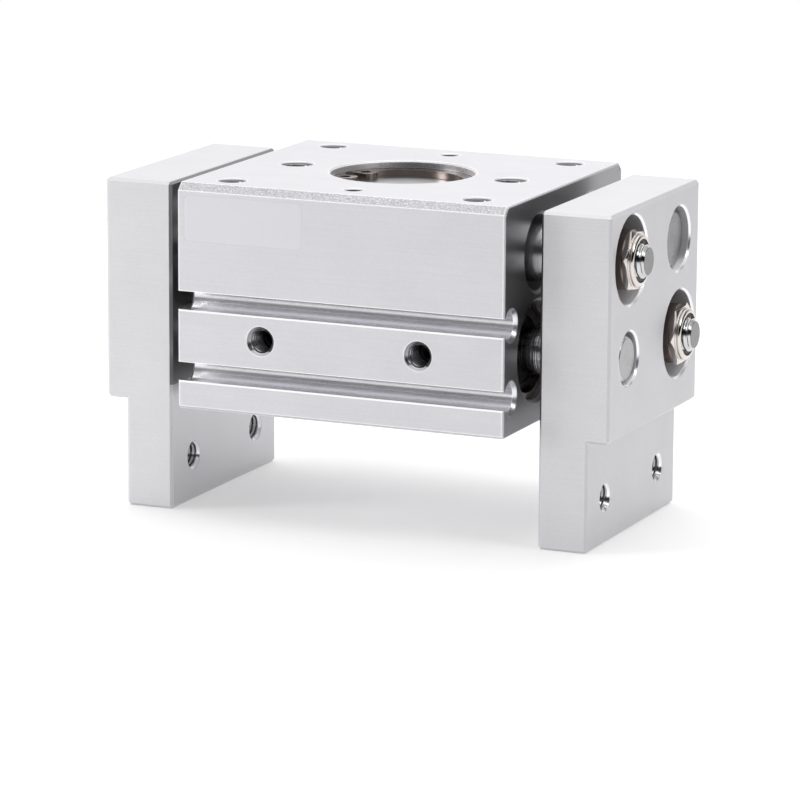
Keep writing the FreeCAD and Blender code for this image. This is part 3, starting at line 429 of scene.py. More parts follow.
def block_regions(tree, place, fine):
    """Folded coordinates serve all four quarters, so that each place is masked only once."""
    folded = mirrored(tree, place)
    parts = add(tree, "ShaderNodeSeparateXYZ", {"Vector": folded}).outputs
    # The milled end faces are smoother, and their tone is painted shade: they are painted darker.
    ends = beyond(tree, parts["X"], BLOCK_END - SHARP * 2)
    cuts = []
    for height in GROOVE_HEIGHTS:
        near = within(tree, from_axis(tree, folded, "X", (0, GROOVE_ASIDE, height)), GROOVE_REACH)
        level = calc(tree, "SUBTRACT", parts["Z"], height)
        # A narrow band below each groove's axis is painted darker, with grain: a painted reflection
        # of a dark band of the room.
        from_band = calc(tree, "ABSOLUTE", calc(tree, "SUBTRACT", level, DARK_BAND_LEVEL))
        dark_band = both(tree, near, remap(tree, from_band, BAND_CORE, BAND_EDGE, 1.0, 0.0))
        # The lip under each groove on the front is painted brighter: a painted highlight.
        lip = both(tree, beyond(tree, parts["Y"], BLOCK_FRONT - SHARP * 2),
                   both(tree, beyond(tree, level, LIP_BASE), within(tree, level, LIP_TOP + SHARP)))
        cuts += [(near, *DRAWN_SKIN), (dark_band, vary(tree, fine, 0.75, 0.3), 0.3, 0.85),
                 (lip, *LIP_HIGHLIGHT)]
    chamfer = both(tree, beyond(tree, parts["Z"], BLOCK_TOP - TOP_CHAMFER + SHARP),
                   beyond(tree, parts["Y"], BLOCK_FRONT - TOP_CHAMFER + SHARP))
    under_top = within(tree, parts["Z"], BLOCK_TOP - MOUTH)
    well = both(tree, within(tree, from_axis(tree, folded, "Z", (0, 0, 0)), WELL_RADIUS),
                both(tree, beyond(tree, parts["Z"], WELL_BASE), under_top))
    # The well's tone is a painted reflection: darker in its middle and lighter towards its ends
    # along X, with the blasted grain on top.
    well_painted_reflection = calc(tree, "MULTIPLY", vary(tree, fine, 1.0, 0.5),
                     remap(tree, parts["X"], WELL_SHADE_X, WELL_LIGHT_X, 0.5, 1.6))
    # The ports on the front are painted darker above their sill: painted shade inside the holes.
    in_front = within(tree, add(tree, "ShaderNodeSeparateXYZ", {"Vector": place}).outputs["Y"], 0.0)
    ports = both(tree, within(tree, from_axis(tree, folded, "Y", (PORT_X, 0, PORT_Z)), PORT_REACH),
                 both(tree, beyond(tree, parts["Z"], PORT_Z - PORT_SILL), in_front))
    # The mouths of the tapped holes in the top are painted darker: painted shade inside the holes.
    tapped = None
    for x, y, radius in TOP_HOLES:
        near = within(tree, from_axis(tree, folded, "Z", (x, y, 0)), radius)
        tapped = near if tapped is None else either(tree, tapped, near)
    tapped = both(tree, tapped, both(tree, beyond(tree, parts["Z"], HOLE_BASE), under_top))
    return ((ends, *MILLED_END_SHADE), *cuts, (well, well_painted_reflection, 0.4, 0.8),
            (ports, *PORT_SHADE), (tapped, *TAPPED_HOLE_SHADE),
            (chamfer, vary(tree, fine, 0.86, 0.6), 0.6, 0.8))


HOUSING_METAL = anodised("housing_anodised", (0.70, 0.695, 0.72), block_regions, edge_highlight_gain=0.8)
print("block:", HOUSING_METAL.name, "with", len(HOUSING_METAL.node_tree.nodes), "nodes")


# %% Where a jaw is not blasted: places
FINGER_ASIDE = half_span("right_finger_threads", "x")
FINGER_HEIGHT = mount("right_finger_threads")["pos_m"][2]
COUNTERSINK = 2.75 * MM
JAW_INNER = 34.0 * MM
JAW_OUTER = 46.5 * MM
FINGER_FACE = mount("right_finger_face")["pos_m"][0]
RIM = 0.4 * MM
SHADE_BASE, SHADE_TOP, SHADE_REACH = 22.0 * MM, 57.3 * MM, 0.45 * MM
RACK_ASIDE, RACK_HEIGHT = 11.3 * MM, 48.6 * MM
ROD_ASIDE, ROD_HEIGHT = 12.0 * MM, 32.0 * MM
RECESSES = ((-RACK_ASIDE, RACK_HEIGHT, 7.5 * MM), (ROD_ASIDE, ROD_HEIGHT, 7.5 * MM),
            (RACK_ASIDE, RACK_HEIGHT, 5.5 * MM), (-ROD_ASIDE, ROD_HEIGHT, 4.5 * MM))
FLOOR_FROM, FLOOR_TO = -0.95, -0.6

# %% Where a jaw is not blasted or carries painted light and shade: masks, each with its tone, roughness and share of metal
BORE_WALL_SHADE = (0.75, 0.42, 0.3)
BORE_FLOOR_LIGHT = (2.4, 0.4, 0.3)
BORE_RIM_HIGHLIGHT = (1.3, 0.22, 0.9)
HOLE_RIM_HIGHLIGHT = (1.3, 0.16, 0.95)
PAD_PAINTED_SHADE = (0.4, 0.35, 0.85)


def jaw_regions(side):
    """side is 1 for the right jaw and -1 for the left one, which is the same piece turned round."""
    def find(tree, place, fine):
        turned = add(tree, "ShaderNodeMapping", {"Vector": place,
                     "Scale": (side, side, 1)}).outputs[0]
        parts = add(tree, "ShaderNodeSeparateXYZ", {"Vector": turned}).outputs
        inside = rims = low = None
        for aside, height, radius in RECESSES:
            distance = from_axis(tree, turned, "X", (0, aside, height))
            wall = within(tree, distance, radius + SHARP)
            # The rim of each recess is smoother and painted brighter: a painted highlight.
            rim = both(tree, beyond(tree, distance, radius + SHARP),
                       within(tree, distance, radius + RIM + SHARP))
            # Inside each recess the wall is painted darker as shade, and its lower part is painted
            # lighter: a painted pool of light.
            under = both(tree, wall, remap(tree, calc(tree, "SUBTRACT", parts["Z"], height),
                                           radius * FLOOR_FROM, radius * FLOOR_TO, 1.0, 0.0))
            inside = wall if inside is None else either(tree, inside, wall)
            low = under if low is None else either(tree, low, under)
            rims = rim if rims is None else either(tree, rims, rim)
        # The rim of each finger hole is smoother and painted brighter: a painted highlight.
        finger = within(tree, from_axis(tree, mirrored(tree, place), "X",
                                        (0, FINGER_ASIDE, FINGER_HEIGHT)), COUNTERSINK)
        faces = both(tree, beyond(tree, parts["X"], JAW_INNER + SHARP * 2),
                     within(tree, parts["X"], FINGER_FACE - SHARP * 2))
        sunk = both(tree, within(tree, parts["X"], JAW_OUTER - SHARP),
                    beyond(tree, parts["X"], JAW_INNER + SHARP * 2))
        # The inner face of the jaw, from above the block's underside to the top, is painted darker:
        # painted shade of the gap, which moves with the jaw.
        shade_height = both(tree, beyond(tree, parts["Z"], SHADE_BASE),
                          within(tree, parts["Z"], SHADE_TOP))
        shaded_pad = both(tree, within(tree, parts["X"], JAW_INNER + SHADE_REACH), shade_height)
        return ((both(tree, inside, sunk), *BORE_WALL_SHADE), (both(tree, low, sunk), *BORE_FLOOR_LIGHT),
                (both(tree, rims, sunk), *BORE_RIM_HIGHLIGHT), (both(tree, finger, faces), *HOLE_RIM_HIGHLIGHT),
                (shaded_pad, *PAD_PAINTED_SHADE))
    return find


JAW_TINT = (0.70, 0.697, 0.715)
JAW_METAL = {name: anodised(name + "_anodised", JAW_TINT, jaw_regions(side))
             for name, side in (("right_jaw", 1), ("left_jaw", -1))}
print("jaws:", [material.name for material in JAW_METAL.values()])


# %% [markdown]
# ## Bright and dark steel
# Rods are ground and chromed, nuts are nickel plated, circlips keep the dark skin of their heat
# treatment, and bushes are sintered bronze. They all come from one function that turns a metal,
# with rings as fine as the tool left them.

# %% Turned and plated metals
RING_RELIEF = 0.05 * MM
SHINE_SCALE = 2500.0
FACED_ROUGHNESS = 0.25
RECESS_PAINTED_SHADE = 0.15
EDGE_HIGHLIGHT_LIFT = 0.15


def turned_metal(name, tint, roughness, rings=0.03, metallic=1.0, centre=(0, 0, 0), scale=4000.0,
                 cut_end=None, cut_tone=0.35, relief=0.0, recess=None):
    """cut_end is the X beyond which the metal is a sawn and faced end, darker than the ground side.
    recess is the radius inside which the metal lies deep, and there its colour is painted darker as
    shade."""
    material, tree, shader, place = start_material(name, metallic, roughness)
    ring = use_group(tree, TURNING_RINGS, Vector=place, Centre=centre, Scale=scale)["Rings"]
    grain = use_group(tree, GRAIN, Vector=place, Scale=SHINE_SCALE)
    edges = use_group(tree, EDGE_CATCH, Radius=FINE_EDGE)
    tone = calc(tree, "MULTIPLY", vary(tree, ring, 1.0, rings),
                vary(tree, grain["Cloud"], 1.0, 0.05))
    rough = vary(tree, ring, roughness, roughness * 0.3)
    if cut_end:
        parts = add(tree, "ShaderNodeSeparateXYZ", {"Vector": mirrored(tree, place)})
        faced = beyond(tree, parts.outputs["X"], cut_end - SHARP * 1.5)
        tone = calc(tree, "MULTIPLY", tone, mix_number(tree, faced, 1.0, cut_tone))
        rough = mix_number(tree, faced, rough, FACED_ROUGHNESS)
    if recess:
        # Painted shade: the colour is made darker inside the nut's recess.
        deep = within(tree, from_axis(tree, place, "X", centre), recess)
        tone = calc(tree, "MULTIPLY", tone, mix_number(tree, deep, 1.0, RECESS_PAINTED_SHADE))
    # Painted highlight: the colour is made brighter along edges.
    tone = calc(tree, "MULTIPLY_ADD", edges["Edge"], EDGE_HIGHLIGHT_LIFT, tone)
    feed(tree, shader.inputs["Base Color"], grey_shade(tree, tone, tint))
    feed(tree, shader.inputs["Roughness"], rough)
    grooves = add(tree, "ShaderNodeBump", {"Height": ring, "Distance": RING_RELIEF,
                  "Strength": relief, "Normal": edges["Normal"]})
    feed(tree, shader.inputs["Normal"], grooves.outputs[0])
    return material


def moulded_rubber(name):
    material, tree, shader, place = start_material(name, 0.0, 0.55)
    grain = use_group(tree, GRAIN, Vector=place, Scale=SHINE_SCALE)
    feed(tree, shader.inputs["Base Color"], grey_shade(tree, vary(tree, grain["Fine"], 1.0, 0.2),
                                                       (0.022, 0.021, 0.021)))
    feed(tree, shader.inputs["Roughness"], vary(tree, grain["Cloud"], 0.55, 0.1))
    return material


# %% The metals of this gripper
RACK_END = 45.4 * MM
ROD_END = 46.1 * MM
STUD_TIP = 49.5 * MM
NUT_RECESS = 3.7 * MM
CHROME_TINT = (0.65, 0.65, 0.66)
NICKEL_TINT = (0.68, 0.64, 0.61)
RACK_STEEL = {side: turned_metal(side + "_rack_steel", CHROME_TINT, 0.14, cut_end=RACK_END,
                                 centre=(0, aside, RACK_HEIGHT), relief=1.0)
              for side, aside in (("right", -RACK_ASIDE), ("left", RACK_ASIDE))}
ROD_STEEL = {side: turned_metal(side + "_chromed_rod", CHROME_TINT, 0.1, cut_end=ROD_END,
                                cut_tone=0.55, centre=(0, aside, ROD_HEIGHT), relief=1.0)
             for side, aside in (("right", ROD_ASIDE), ("left", -ROD_ASIDE))}
PLACES = {"right_rack": (1, -RACK_ASIDE, RACK_HEIGHT), "right_rod": (1, ROD_ASIDE, ROD_HEIGHT),
          "left_rack": (-1, RACK_ASIDE, RACK_HEIGHT), "left_rod": (-1, -ROD_ASIDE, ROD_HEIGHT)}
STUD_STEEL = {label: turned_metal(label + "_stud_steel", (0.60, 0.60, 0.61), 0.12, cut_end=STUD_TIP,
                                  centre=(0, aside, height), relief=1.0)
              for label, (side, aside, height) in PLACES.items()}
NICKEL = turned_metal("nickel_plate", NICKEL_TINT, 0.08)
NUT_METAL = {label: turned_metal(label + "_nickel", NICKEL_TINT, 0.08, recess=NUT_RECESS,
                                 centre=(0, aside, height))
             for label, (side, aside, height) in PLACES.items()}
DARK_STEEL = turned_metal("dark_spacer", (0.26, 0.215, 0.20), 0.35)
CLIP_STEEL = turned_metal("spring_clip", (0.30, 0.255, 0.23), 0.22)
# The rod covers sit in the narrow gaps between block and jaws; their near-black colour is painted
# shade for those gaps.
COVER_PAINTED_SHADE = turned_metal("dark_anodised", (0.10, 0.10, 0.115), 0.35)
GEAR_STEEL = turned_metal("gear_steel", (0.45, 0.44, 0.43), 0.3)
BRONZE = turned_metal("sintered_bronze", (0.50, 0.36, 0.20), 0.4)
COVER_METAL = turned_metal("turned_aluminium", (0.68, 0.68, 0.69), 0.35)
FERRITE = turned_metal("ferrite_magnet", (0.08, 0.08, 0.09), 0.5, metallic=0.3)
# The threads inside the holes get a darker colour than the aluminium: painted shade.
TAPPED_METAL_SHADE = turned_metal("tapped_aluminium", (0.38, 0.38, 0.39), 0.22)
RUBBER = moulded_rubber("nitrile_rubber")
print("finishes so far:", len(bpy.data.materials))


# %% Each solid gets its finish
FINISH = {
    "housing_aluminium": HOUSING_METAL, "cover_aluminium": COVER_METAL, "steel": GEAR_STEEL,
    "nut_steel": NICKEL, "spacer_steel": DARK_STEEL, "spring_steel": CLIP_STEEL,
    "bronze": BRONZE, "rubber": RUBBER, "magnet": FERRITE,
}
OWN_FINISH = {}
for side in ("right", "left"):
    for row in ("front", "rear"):
        OWN_FINISH["%s_%s_rod_cover" % (row, side)] = COVER_PAINTED_SHADE
    OWN_FINISH[side + "_jaw"] = JAW_METAL[side + "_jaw"]
    OWN_FINISH[side + "_rack"] = RACK_STEEL[side]
    OWN_FINISH[side + "_piston_rod"] = ROD_STEEL[side]
SLOT_OF = {part["node"]: part["material_slot"] for part in RECORD["subparts"]}
BODY_OF = {node: body for body, members in RECORD["behaviour"]["bodies"].items()
           for node in members}


def finish_of(node):
    return OWN_FINISH.get(node) or FINISH[SLOT_OF[node]]


def dress(piece, material):
    piece.data.materials.clear()
    piece.data.materials.append(material)


for name, solid in NODES.items():
    for slot in solid.material_slots:
        slot.material = finish_of(name)
print("finishes:", len(FINISH) + len(OWN_FINISH), "on", len(SLOT_OF), "solids")


# %% [markdown]
# ## Smooth surfaces on the solids
# The solids arrive as loose triangles with flat shading, and polished metal would show every one of
# them. A copy of the mesh is merged and shaded smooth wherever faces meet at less than 30 degrees,
# and stands in for its solid. The shape isn't touched.

# %% Smooth copies
MERGE_DISTANCE = 0.0005 * MM
SMOOTH_ANGLE = math.radians(30)


def pick(piece):
    """Make one object the only selected and the active one."""
    bpy.ops.object.select_all(action="DESELECT")
    piece.select_set(True)
    bpy.context.view_layer.objects.active = piece


def settle(piece, name, material, body, replaced=()):
    """Give a finished piece its name, finish and body, with its place kept in its mesh."""
    piece.name = piece.data.name = name
    pick(piece)
    bpy.ops.object.transform_apply(location=True, rotation=True, scale=True)
    dress(piece, material)
    if replaced:
        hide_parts(*replaced)
    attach(piece, body)
    return piece


def smooth_copy(node, cut_beyond=None):
    """cut_beyond leaves off what lies beyond that X, on the side where it lies."""
    piece = bpy.data.objects.new(node + "_surface", NODES[node].data.copy())
    bpy.context.scene.collection.objects.link(piece)
    pick(piece)
    if piece.data.has_custom_normals:
        bpy.ops.mesh.customdata_custom_splitnormals_clear()
    bpy.ops.object.mode_set(mode="EDIT")
    bpy.ops.mesh.select_all(action="SELECT")
    bpy.ops.mesh.remove_doubles(threshold=MERGE_DISTANCE)
    if cut_beyond:
        bpy.ops.mesh.select_all(action="SELECT")
        outwards = (math.copysign(1, cut_beyond), 0, 0)
        bpy.ops.mesh.bisect(plane_co=(cut_beyond, 0, 0), plane_no=outwards, use_fill=True,
                            clear_outer=True)
    bpy.ops.object.mode_set(mode="OBJECT")
    bpy.ops.object.shade_smooth_by_angle(angle=SMOOTH_ANGLE)
    return settle(piece, node + "_surface", finish_of(node), BODY_OF[node], (node,))


# %% Every solid but the nuts, which are modelled next
NUT_SEAT = 46.4 * MM
STUD_CUT = NUT_SEAT + 0.3 * MM
SHAFTS = ("rack", "piston_rod")
NUTS = ("rack_nut", "rod_nut")
for node in NODES:
    kind = node.split("_", 1)[-1]
    if kind in NUTS:
        continue
    if kind in SHAFTS:
        smooth_copy(node, STUD_CUT if node.startswith("right") else -STUD_CUT)
    else:
        smooth_copy(node)


# %% [markdown]
# ## Lock nuts
# Each rack and rod is held to its jaw by a thin nut. It has a low six-sided part with turned-off
# corners and a round collar with a recess in it. The six-sided part is cut from a prism by two
# cones, as a lathe would do it, which gives the curved edges of a real nut. The collar is turned to
# a profile: its top face is raised and narrowed from point to point, then inset and sunk. At last
# both are united.

# %% A lock nut
NUT_CORNER = 5.54 * MM
UPWARDS = 0.9
NUT_FLAT = 4.85 * MM
HEX_HEIGHT = 1.05 * MM
CONE_DEPTH = 1.5 * MM
CONE_EXTRA = 0.1 * MM
CONE_SLOPE = math.tan(math.radians(60))
COLLAR_BASE = 0.5 * MM
COLLAR_PROFILE = ((4.6, 1.2), (4.5, 1.28), (4.25, 1.3), (4.25, 1.4), (4.45, 1.44), (4.45, 1.58),
                  (4.36, 1.72), (4.2, 1.84), (4.0, 1.9))
RECESS_DEPTH = 0.75 * MM
ROUND_SIDES = 96


def apply_boolean(piece, tool, operation):
    pick(piece)
    step = piece.modifiers.new("cut", "BOOLEAN")
    step.operation = operation
    step.solver = "EXACT"
    step.object = tool
    bpy.ops.object.modifier_apply(modifier=step.name)
    bpy.data.objects.remove(tool, do_unlink=True)


def select_flat_top(piece, height):
    """Select the faces of the active piece that lie flat at a height."""
    bpy.ops.mesh.select_all(action="DESELECT")
    bpy.ops.object.mode_set(mode="OBJECT")
    for face in piece.data.polygons:
        flat = face.normal.z > UPWARDS
        face.select = flat and abs(face.center.z + piece.location.z - height) < SHARP
    bpy.ops.object.mode_set(mode="EDIT")


def make_collar():
    """A ring turned to a profile of (radius, height) in mm, with a recess in its face."""
    radius, height = (value * MM for value in COLLAR_PROFILE[0])
    bpy.ops.mesh.primitive_cylinder_add(vertices=ROUND_SIDES, radius=radius,
                                        depth=height - COLLAR_BASE,
                                        location=(0, 0, (COLLAR_BASE + height) / 2))
    collar = bpy.context.object
    bpy.ops.object.mode_set(mode="EDIT")
    bpy.ops.mesh.select_mode(type="FACE")
    select_flat_top(collar, height)
    for next_radius, next_height in COLLAR_PROFILE[1:]:
        rise, ratio = next_height * MM - height, next_radius * MM / radius
        bpy.ops.mesh.extrude_region_move(TRANSFORM_OT_translate={"value": (0, 0, rise)})
        bpy.ops.transform.resize(value=(ratio, ratio, 1))
        radius, height = next_radius * MM, next_height * MM
    bpy.ops.mesh.inset(thickness=radius - NUT_RECESS)
    bpy.ops.mesh.extrude_region_move(TRANSFORM_OT_translate={"value": (0, 0, -RECESS_DEPTH)})
    bpy.ops.object.mode_set(mode="OBJECT")
    return collar


def make_lock_nut():
    """A nut about Z that seats at height 0."""
    bpy.ops.mesh.primitive_cylinder_add(vertices=6, radius=NUT_CORNER, depth=HEX_HEIGHT,
                                        location=(0, 0, HEX_HEIGHT / 2))
    nut = bpy.context.object
    narrow = NUT_FLAT - CONE_EXTRA * CONE_SLOPE
    wide = NUT_FLAT + CONE_DEPTH * CONE_SLOPE
    for low, high, radii in ((-CONE_EXTRA, CONE_DEPTH, (narrow, wide)),
                             (HEX_HEIGHT - CONE_DEPTH, HEX_HEIGHT + CONE_EXTRA, (wide, narrow))):
        bpy.ops.mesh.primitive_cone_add(vertices=ROUND_SIDES, radius1=radii[0], radius2=radii[1],
                                        depth=high - low, location=(0, 0, (low + high) / 2))
        apply_boolean(nut, bpy.context.object, "INTERSECT")
    apply_boolean(nut, make_collar(), "UNION")
    pick(nut)
    bpy.ops.object.transform_apply(location=True, rotation=True, scale=True)
    bpy.ops.object.shade_smooth_by_angle(angle=SMOOTH_ANGLE)
    return nut


# %% The four nuts in their places
NUT_TURN = {"right_rack": -8, "right_rod": 5, "left_rack": 34, "left_rod": 11}


def copy_of(piece):
    twin = bpy.data.objects.new(piece.name, piece.data.copy())
    bpy.context.scene.collection.objects.link(twin)
    return twin


def point_along_x(piece, side, aside, height, along, turn=0.0):
    """Turn a piece that was made about Z outwards along X, and put it in place."""
    spin = Matrix.Rotation(math.radians(turn), 4, "Z")
    lay = Matrix.Rotation(math.radians(90 * side), 4, "Y")
    piece.matrix_world = Matrix.Translation((along * side, aside, height)) @ lay @ spin


pattern_nut = make_lock_nut()
for label, (side, aside, height) in PLACES.items():
    nut = copy_of(pattern_nut)
    point_along_x(nut, side, aside, height, NUT_SEAT, NUT_TURN[label])
    settle(nut, label + "_lock_nut", NUT_METAL[label], label.split("_")[0] + "_jaw",
           (label + "_nut",))
bpy.data.objects.remove(pattern_nut, do_unlink=True)
print("lock nuts:", len(PLACES))


# %% [markdown]
# ## Screw threads
# A thread is a groove that winds round and round. It can be modelled on a plain cylinder that has
# many rings: each point moves in or out by an amount that depends on its height and its angle
# together, so that the valley climbs by one pitch in each turn. The same function makes the studs,
# which are solid, and the inside of a tapped hole, which is a thin tube.

# %% Winding a thread onto a cylinder
AROUND = 48
RINGS_PER_TURN = 8
FLANK, CREST_SHARE = 1.3, 0.15


def ringed_cylinder(radius, length, rings, closed):
    """A cylinder about Z from 0 up to its length, divided into rings."""
    bpy.ops.mesh.primitive_cylinder_add(vertices=AROUND, radius=radius, depth=length,
                                        end_fill_type="NGON" if closed else "NOTHING",
                                        location=(0, 0, length / 2))
    piece = bpy.context.object
    bpy.ops.object.transform_apply(location=True, rotation=True, scale=True)
    points = piece.data.vertices
    for edge in piece.data.edges:
        low, high = (points[i].co.z for i in edge.vertices)
        edge.select = abs(low - high) > length / 2
    for face in piece.data.polygons:
        face.select = False
    bpy.ops.object.mode_set(mode="EDIT")
    bpy.ops.mesh.select_mode(type="EDGE")
    bpy.ops.mesh.subdivide(number_cuts=rings)
    bpy.ops.object.mode_set(mode="OBJECT")
    return piece


def wind_thread(piece, crest, root, pitch, limit):
    """Move every point to the thread's surface. limit gives the widest radius at a height."""
    for point in piece.data.vertices:
        angle = math.atan2(point.co.y, point.co.x) / math.tau
        phase = (point.co.z / pitch - angle) % 1.0
        valley = 1.0 - abs(2.0 * phase - 1.0)
        flat = min(1.0, max(0.0, valley * FLANK - CREST_SHARE))
        radius = min(crest + (root - crest) * flat, limit(point.co.z))
        scale = radius / point.co.xy.length
        point.co.x *= scale
        point.co.y *= scale


# %% Studs
STUD_RADIUS = 3.0 * MM
STUD_ROOT = 2.5 * MM
STUD_PITCH = 1.0 * MM
STUD_CHAMFER = 0.75 * MM
STUD_OVERLAP = 0.1 * MM
CREST_PLAY = 0.05 * MM


def make_stud():
    length = STUD_TIP - STUD_CUT + STUD_OVERLAP
    rings = int(length / STUD_PITCH * RINGS_PER_TURN)
    stud = ringed_cylinder(STUD_RADIUS, length, rings, True)

    def limit(height):
        return STUD_RADIUS - max(0.0, height - (length - STUD_CHAMFER))

    wind_thread(stud, STUD_RADIUS - CREST_PLAY, STUD_ROOT, STUD_PITCH, limit)
    pick(stud)
    bpy.ops.object.shade_smooth_by_angle(angle=SMOOTH_ANGLE)
    return stud


pattern_stud = make_stud()
for label, (side, aside, height) in PLACES.items():
    stud = copy_of(pattern_stud)
    point_along_x(stud, side, aside, height, STUD_CUT - STUD_OVERLAP)
    settle(stud, label + "_stud_thread", STUD_STEEL[label], label.split("_")[0] + "_jaw")
bpy.data.objects.remove(pattern_stud, do_unlink=True)
print("studs:", len(PLACES))


# %% The inside of a tapped hole
WALL = 0.05 * MM
SKIN = 0.01 * MM
MOST_RINGS = 100
ROUND_ANGLE = math.radians(60)


def make_tapped_tube(radius, length, pitch, ridge):
    """The inside of a tapped hole from 0 up to its length: a thin tube with its ridges inwards."""
    rings = min(MOST_RINGS, int(length / pitch * RINGS_PER_TURN))
    tube = ringed_cylinder(radius, length, rings, False)
    fade = pitch / 2

    def limit(height):
        from_end = min(height, length - height)
        return radius if from_end > fade else radius + WALL

    wind_thread(tube, radius - SKIN, radius - ridge, pitch, limit)
    for point in tube.data.vertices:
        from_end = min(point.co.z, length - point.co.z)
        share = min(1.0, from_end / fade)
        wanted = point.co.xy.length * share + radius * (1 - share)
        scale = wanted / point.co.xy.length
        point.co.x *= scale
        point.co.y *= scale
    pick(tube)
    bpy.ops.object.mode_set(mode="EDIT")
    bpy.ops.mesh.select_all(action="SELECT")
    bpy.ops.mesh.flip_normals()
    bpy.ops.object.mode_set(mode="OBJECT")
    wall = tube.modifiers.new("wall", "SOLIDIFY")
    wall.thickness = WALL
    wall.offset = -1
    bpy.ops.object.modifier_apply(modifier=wall.name)
    bpy.ops.object.shade_smooth_by_angle(angle=ROUND_ANGLE)
    return tube


def tap_holes(title, tube, mouths, body, outward):
    """Copies of a tube with its top end at each mouth, pointing the way that outward gives."""
    turn = Vector(outward).to_track_quat("Z", "Y").to_matrix().to_4x4()
    for index, mouth in enumerate(mouths):
        piece = copy_of(tube)
        piece.matrix_world = Matrix.Translation(mouth) @ turn
        settle(piece, "%s_%d" % (title, index + 1), TAPPED_METAL_SHADE, body)
    bpy.data.objects.remove(tube, do_unlink=True)


# %% All the tapped holes
M5_CORE, M5_PITCH, M5_RIDGE = 2.1 * MM, 0.8 * MM, 0.33 * MM
M6_CORE, M6_PITCH, M6_RIDGE = 2.5 * MM, 1.0 * MM, 0.4 * MM
LEAD_IN = 0.5 * MM
DEPTH_5, DEPTH_6, PORT_DEPTH = 7.3 * MM, 8.3 * MM, 5.0 * MM
FINGER_DEPTH = FINGER_FACE - JAW_INNER - LEAD_IN * 2
sunk = BLOCK_TOP - LEAD_IN
tap_holes("corner_thread", make_tapped_tube(M5_CORE, DEPTH_5, M5_PITCH, M5_RIDGE),
          [(x, y, sunk - DEPTH_5) for x in (-CORNER_X, CORNER_X) for y in (-CORNER_Y, CORNER_Y)],
          "housing", (0, 0, 1))
tap_holes("middle_thread", make_tapped_tube(M6_CORE, DEPTH_6, M6_PITCH, M6_RIDGE),
          [(x, 0, sunk - DEPTH_6) for x in (-MIDDLE_X, MIDDLE_X)],
          "housing", (0, 0, 1))
tap_holes("port_thread", make_tapped_tube(M5_CORE, PORT_DEPTH, M5_PITCH, M5_RIDGE),
          [(x, LEAD_IN + PORT_DEPTH - BLOCK_FRONT, PORT_Z) for x in (PORT_X, -PORT_X)],
          "housing", (0, -1, 0))
for side, sign in (("right", 1), ("left", -1)):
    tap_holes(side + "_finger_thread",
              make_tapped_tube(M5_CORE, FINGER_DEPTH, M5_PITCH, M5_RIDGE),
              [((JAW_INNER + LEAD_IN) * sign, y, FINGER_HEIGHT)
               for y in (-FINGER_ASIDE, FINGER_ASIDE)],
              side + "_jaw", (sign, 0, 0))


# %% [markdown]
# ## The blank label
# A thin foil sits on the front face, near the upper left corner. It carries no print here. It is a
# plane with rounded corners and a little thickness, smoother than the metal under it.

# %% Label
LABEL_X = (-28.6 * MM, -6.9 * MM)
LABEL_Z = (48.7 * MM, 56.4 * MM)
LABEL_CORNER = 1.0 * MM
FOIL = 0.02 * MM


def label_foil():
    material, tree, shader, place = start_material("label_foil", 0.55, 0.38)
    grain = use_group(tree, GRAIN, Vector=place, Scale=900.0)
    tone = calc(tree, "MULTIPLY", vary(tree, grain["Cloud"], 1.0, 0.03),
                vary(tree, grain["Fine"], 1.0, 0.015))
    feed(tree, shader.inputs["Base Color"], grey_shade(tree, tone, (0.765, 0.765, 0.80)))
    feed(tree, shader.inputs["Roughness"], vary(tree, grain["Cloud"], 0.38, 0.05))
    return material


def lay_label():
    width, height = LABEL_X[1] - LABEL_X[0], LABEL_Z[1] - LABEL_Z[0]
    centre = (sum(LABEL_X) / 2, -BLOCK_FRONT, sum(LABEL_Z) / 2)
    bpy.ops.mesh.primitive_plane_add(size=1, location=centre, rotation=(math.radians(90), 0, 0))
    label = bpy.context.object
    label.scale = (width, height, 1)
    bpy.ops.object.transform_apply(location=True, rotation=True, scale=True)
    bpy.ops.object.mode_set(mode="EDIT")
    bpy.ops.mesh.select_mode(type="VERT")
    bpy.ops.mesh.select_all(action="SELECT")
    bpy.ops.mesh.bevel(offset=LABEL_CORNER, segments=8, affect="VERTICES")
    bpy.ops.mesh.select_all(action="SELECT")
    bpy.ops.mesh.extrude_region_move(TRANSFORM_OT_translate={"value": (0, -FOIL, 0)})
    bpy.ops.mesh.select_all(action="SELECT")
    bpy.ops.mesh.normals_make_consistent(inside=False)
    bpy.ops.object.mode_set(mode="OBJECT")
    bpy.ops.object.shade_smooth_by_angle(angle=SMOOTH_ANGLE)
    return settle(label, "blank_label", label_foil(), "housing")


print("label:", tuple(round(v, 4) for v in lay_label().dimensions))


# %% [markdown]
# ## Floor and backdrop
# The photograph has a plain white ground. A white floor would look grey next to it, so the floor
# adds a little light of its own where the camera sees it, directly or in polished metal, and fades
# into the white of the world far out. It still takes the shadow of the gripper.

# %% Floor
FLOOR_RADIUS = 3.0
FADE_START = 0.12
FADE_END = 0.6
OWN_LIGHT = 0.32
FLOOR_GREY = 0.78
FLOOR_GAP = 0.02 * MM


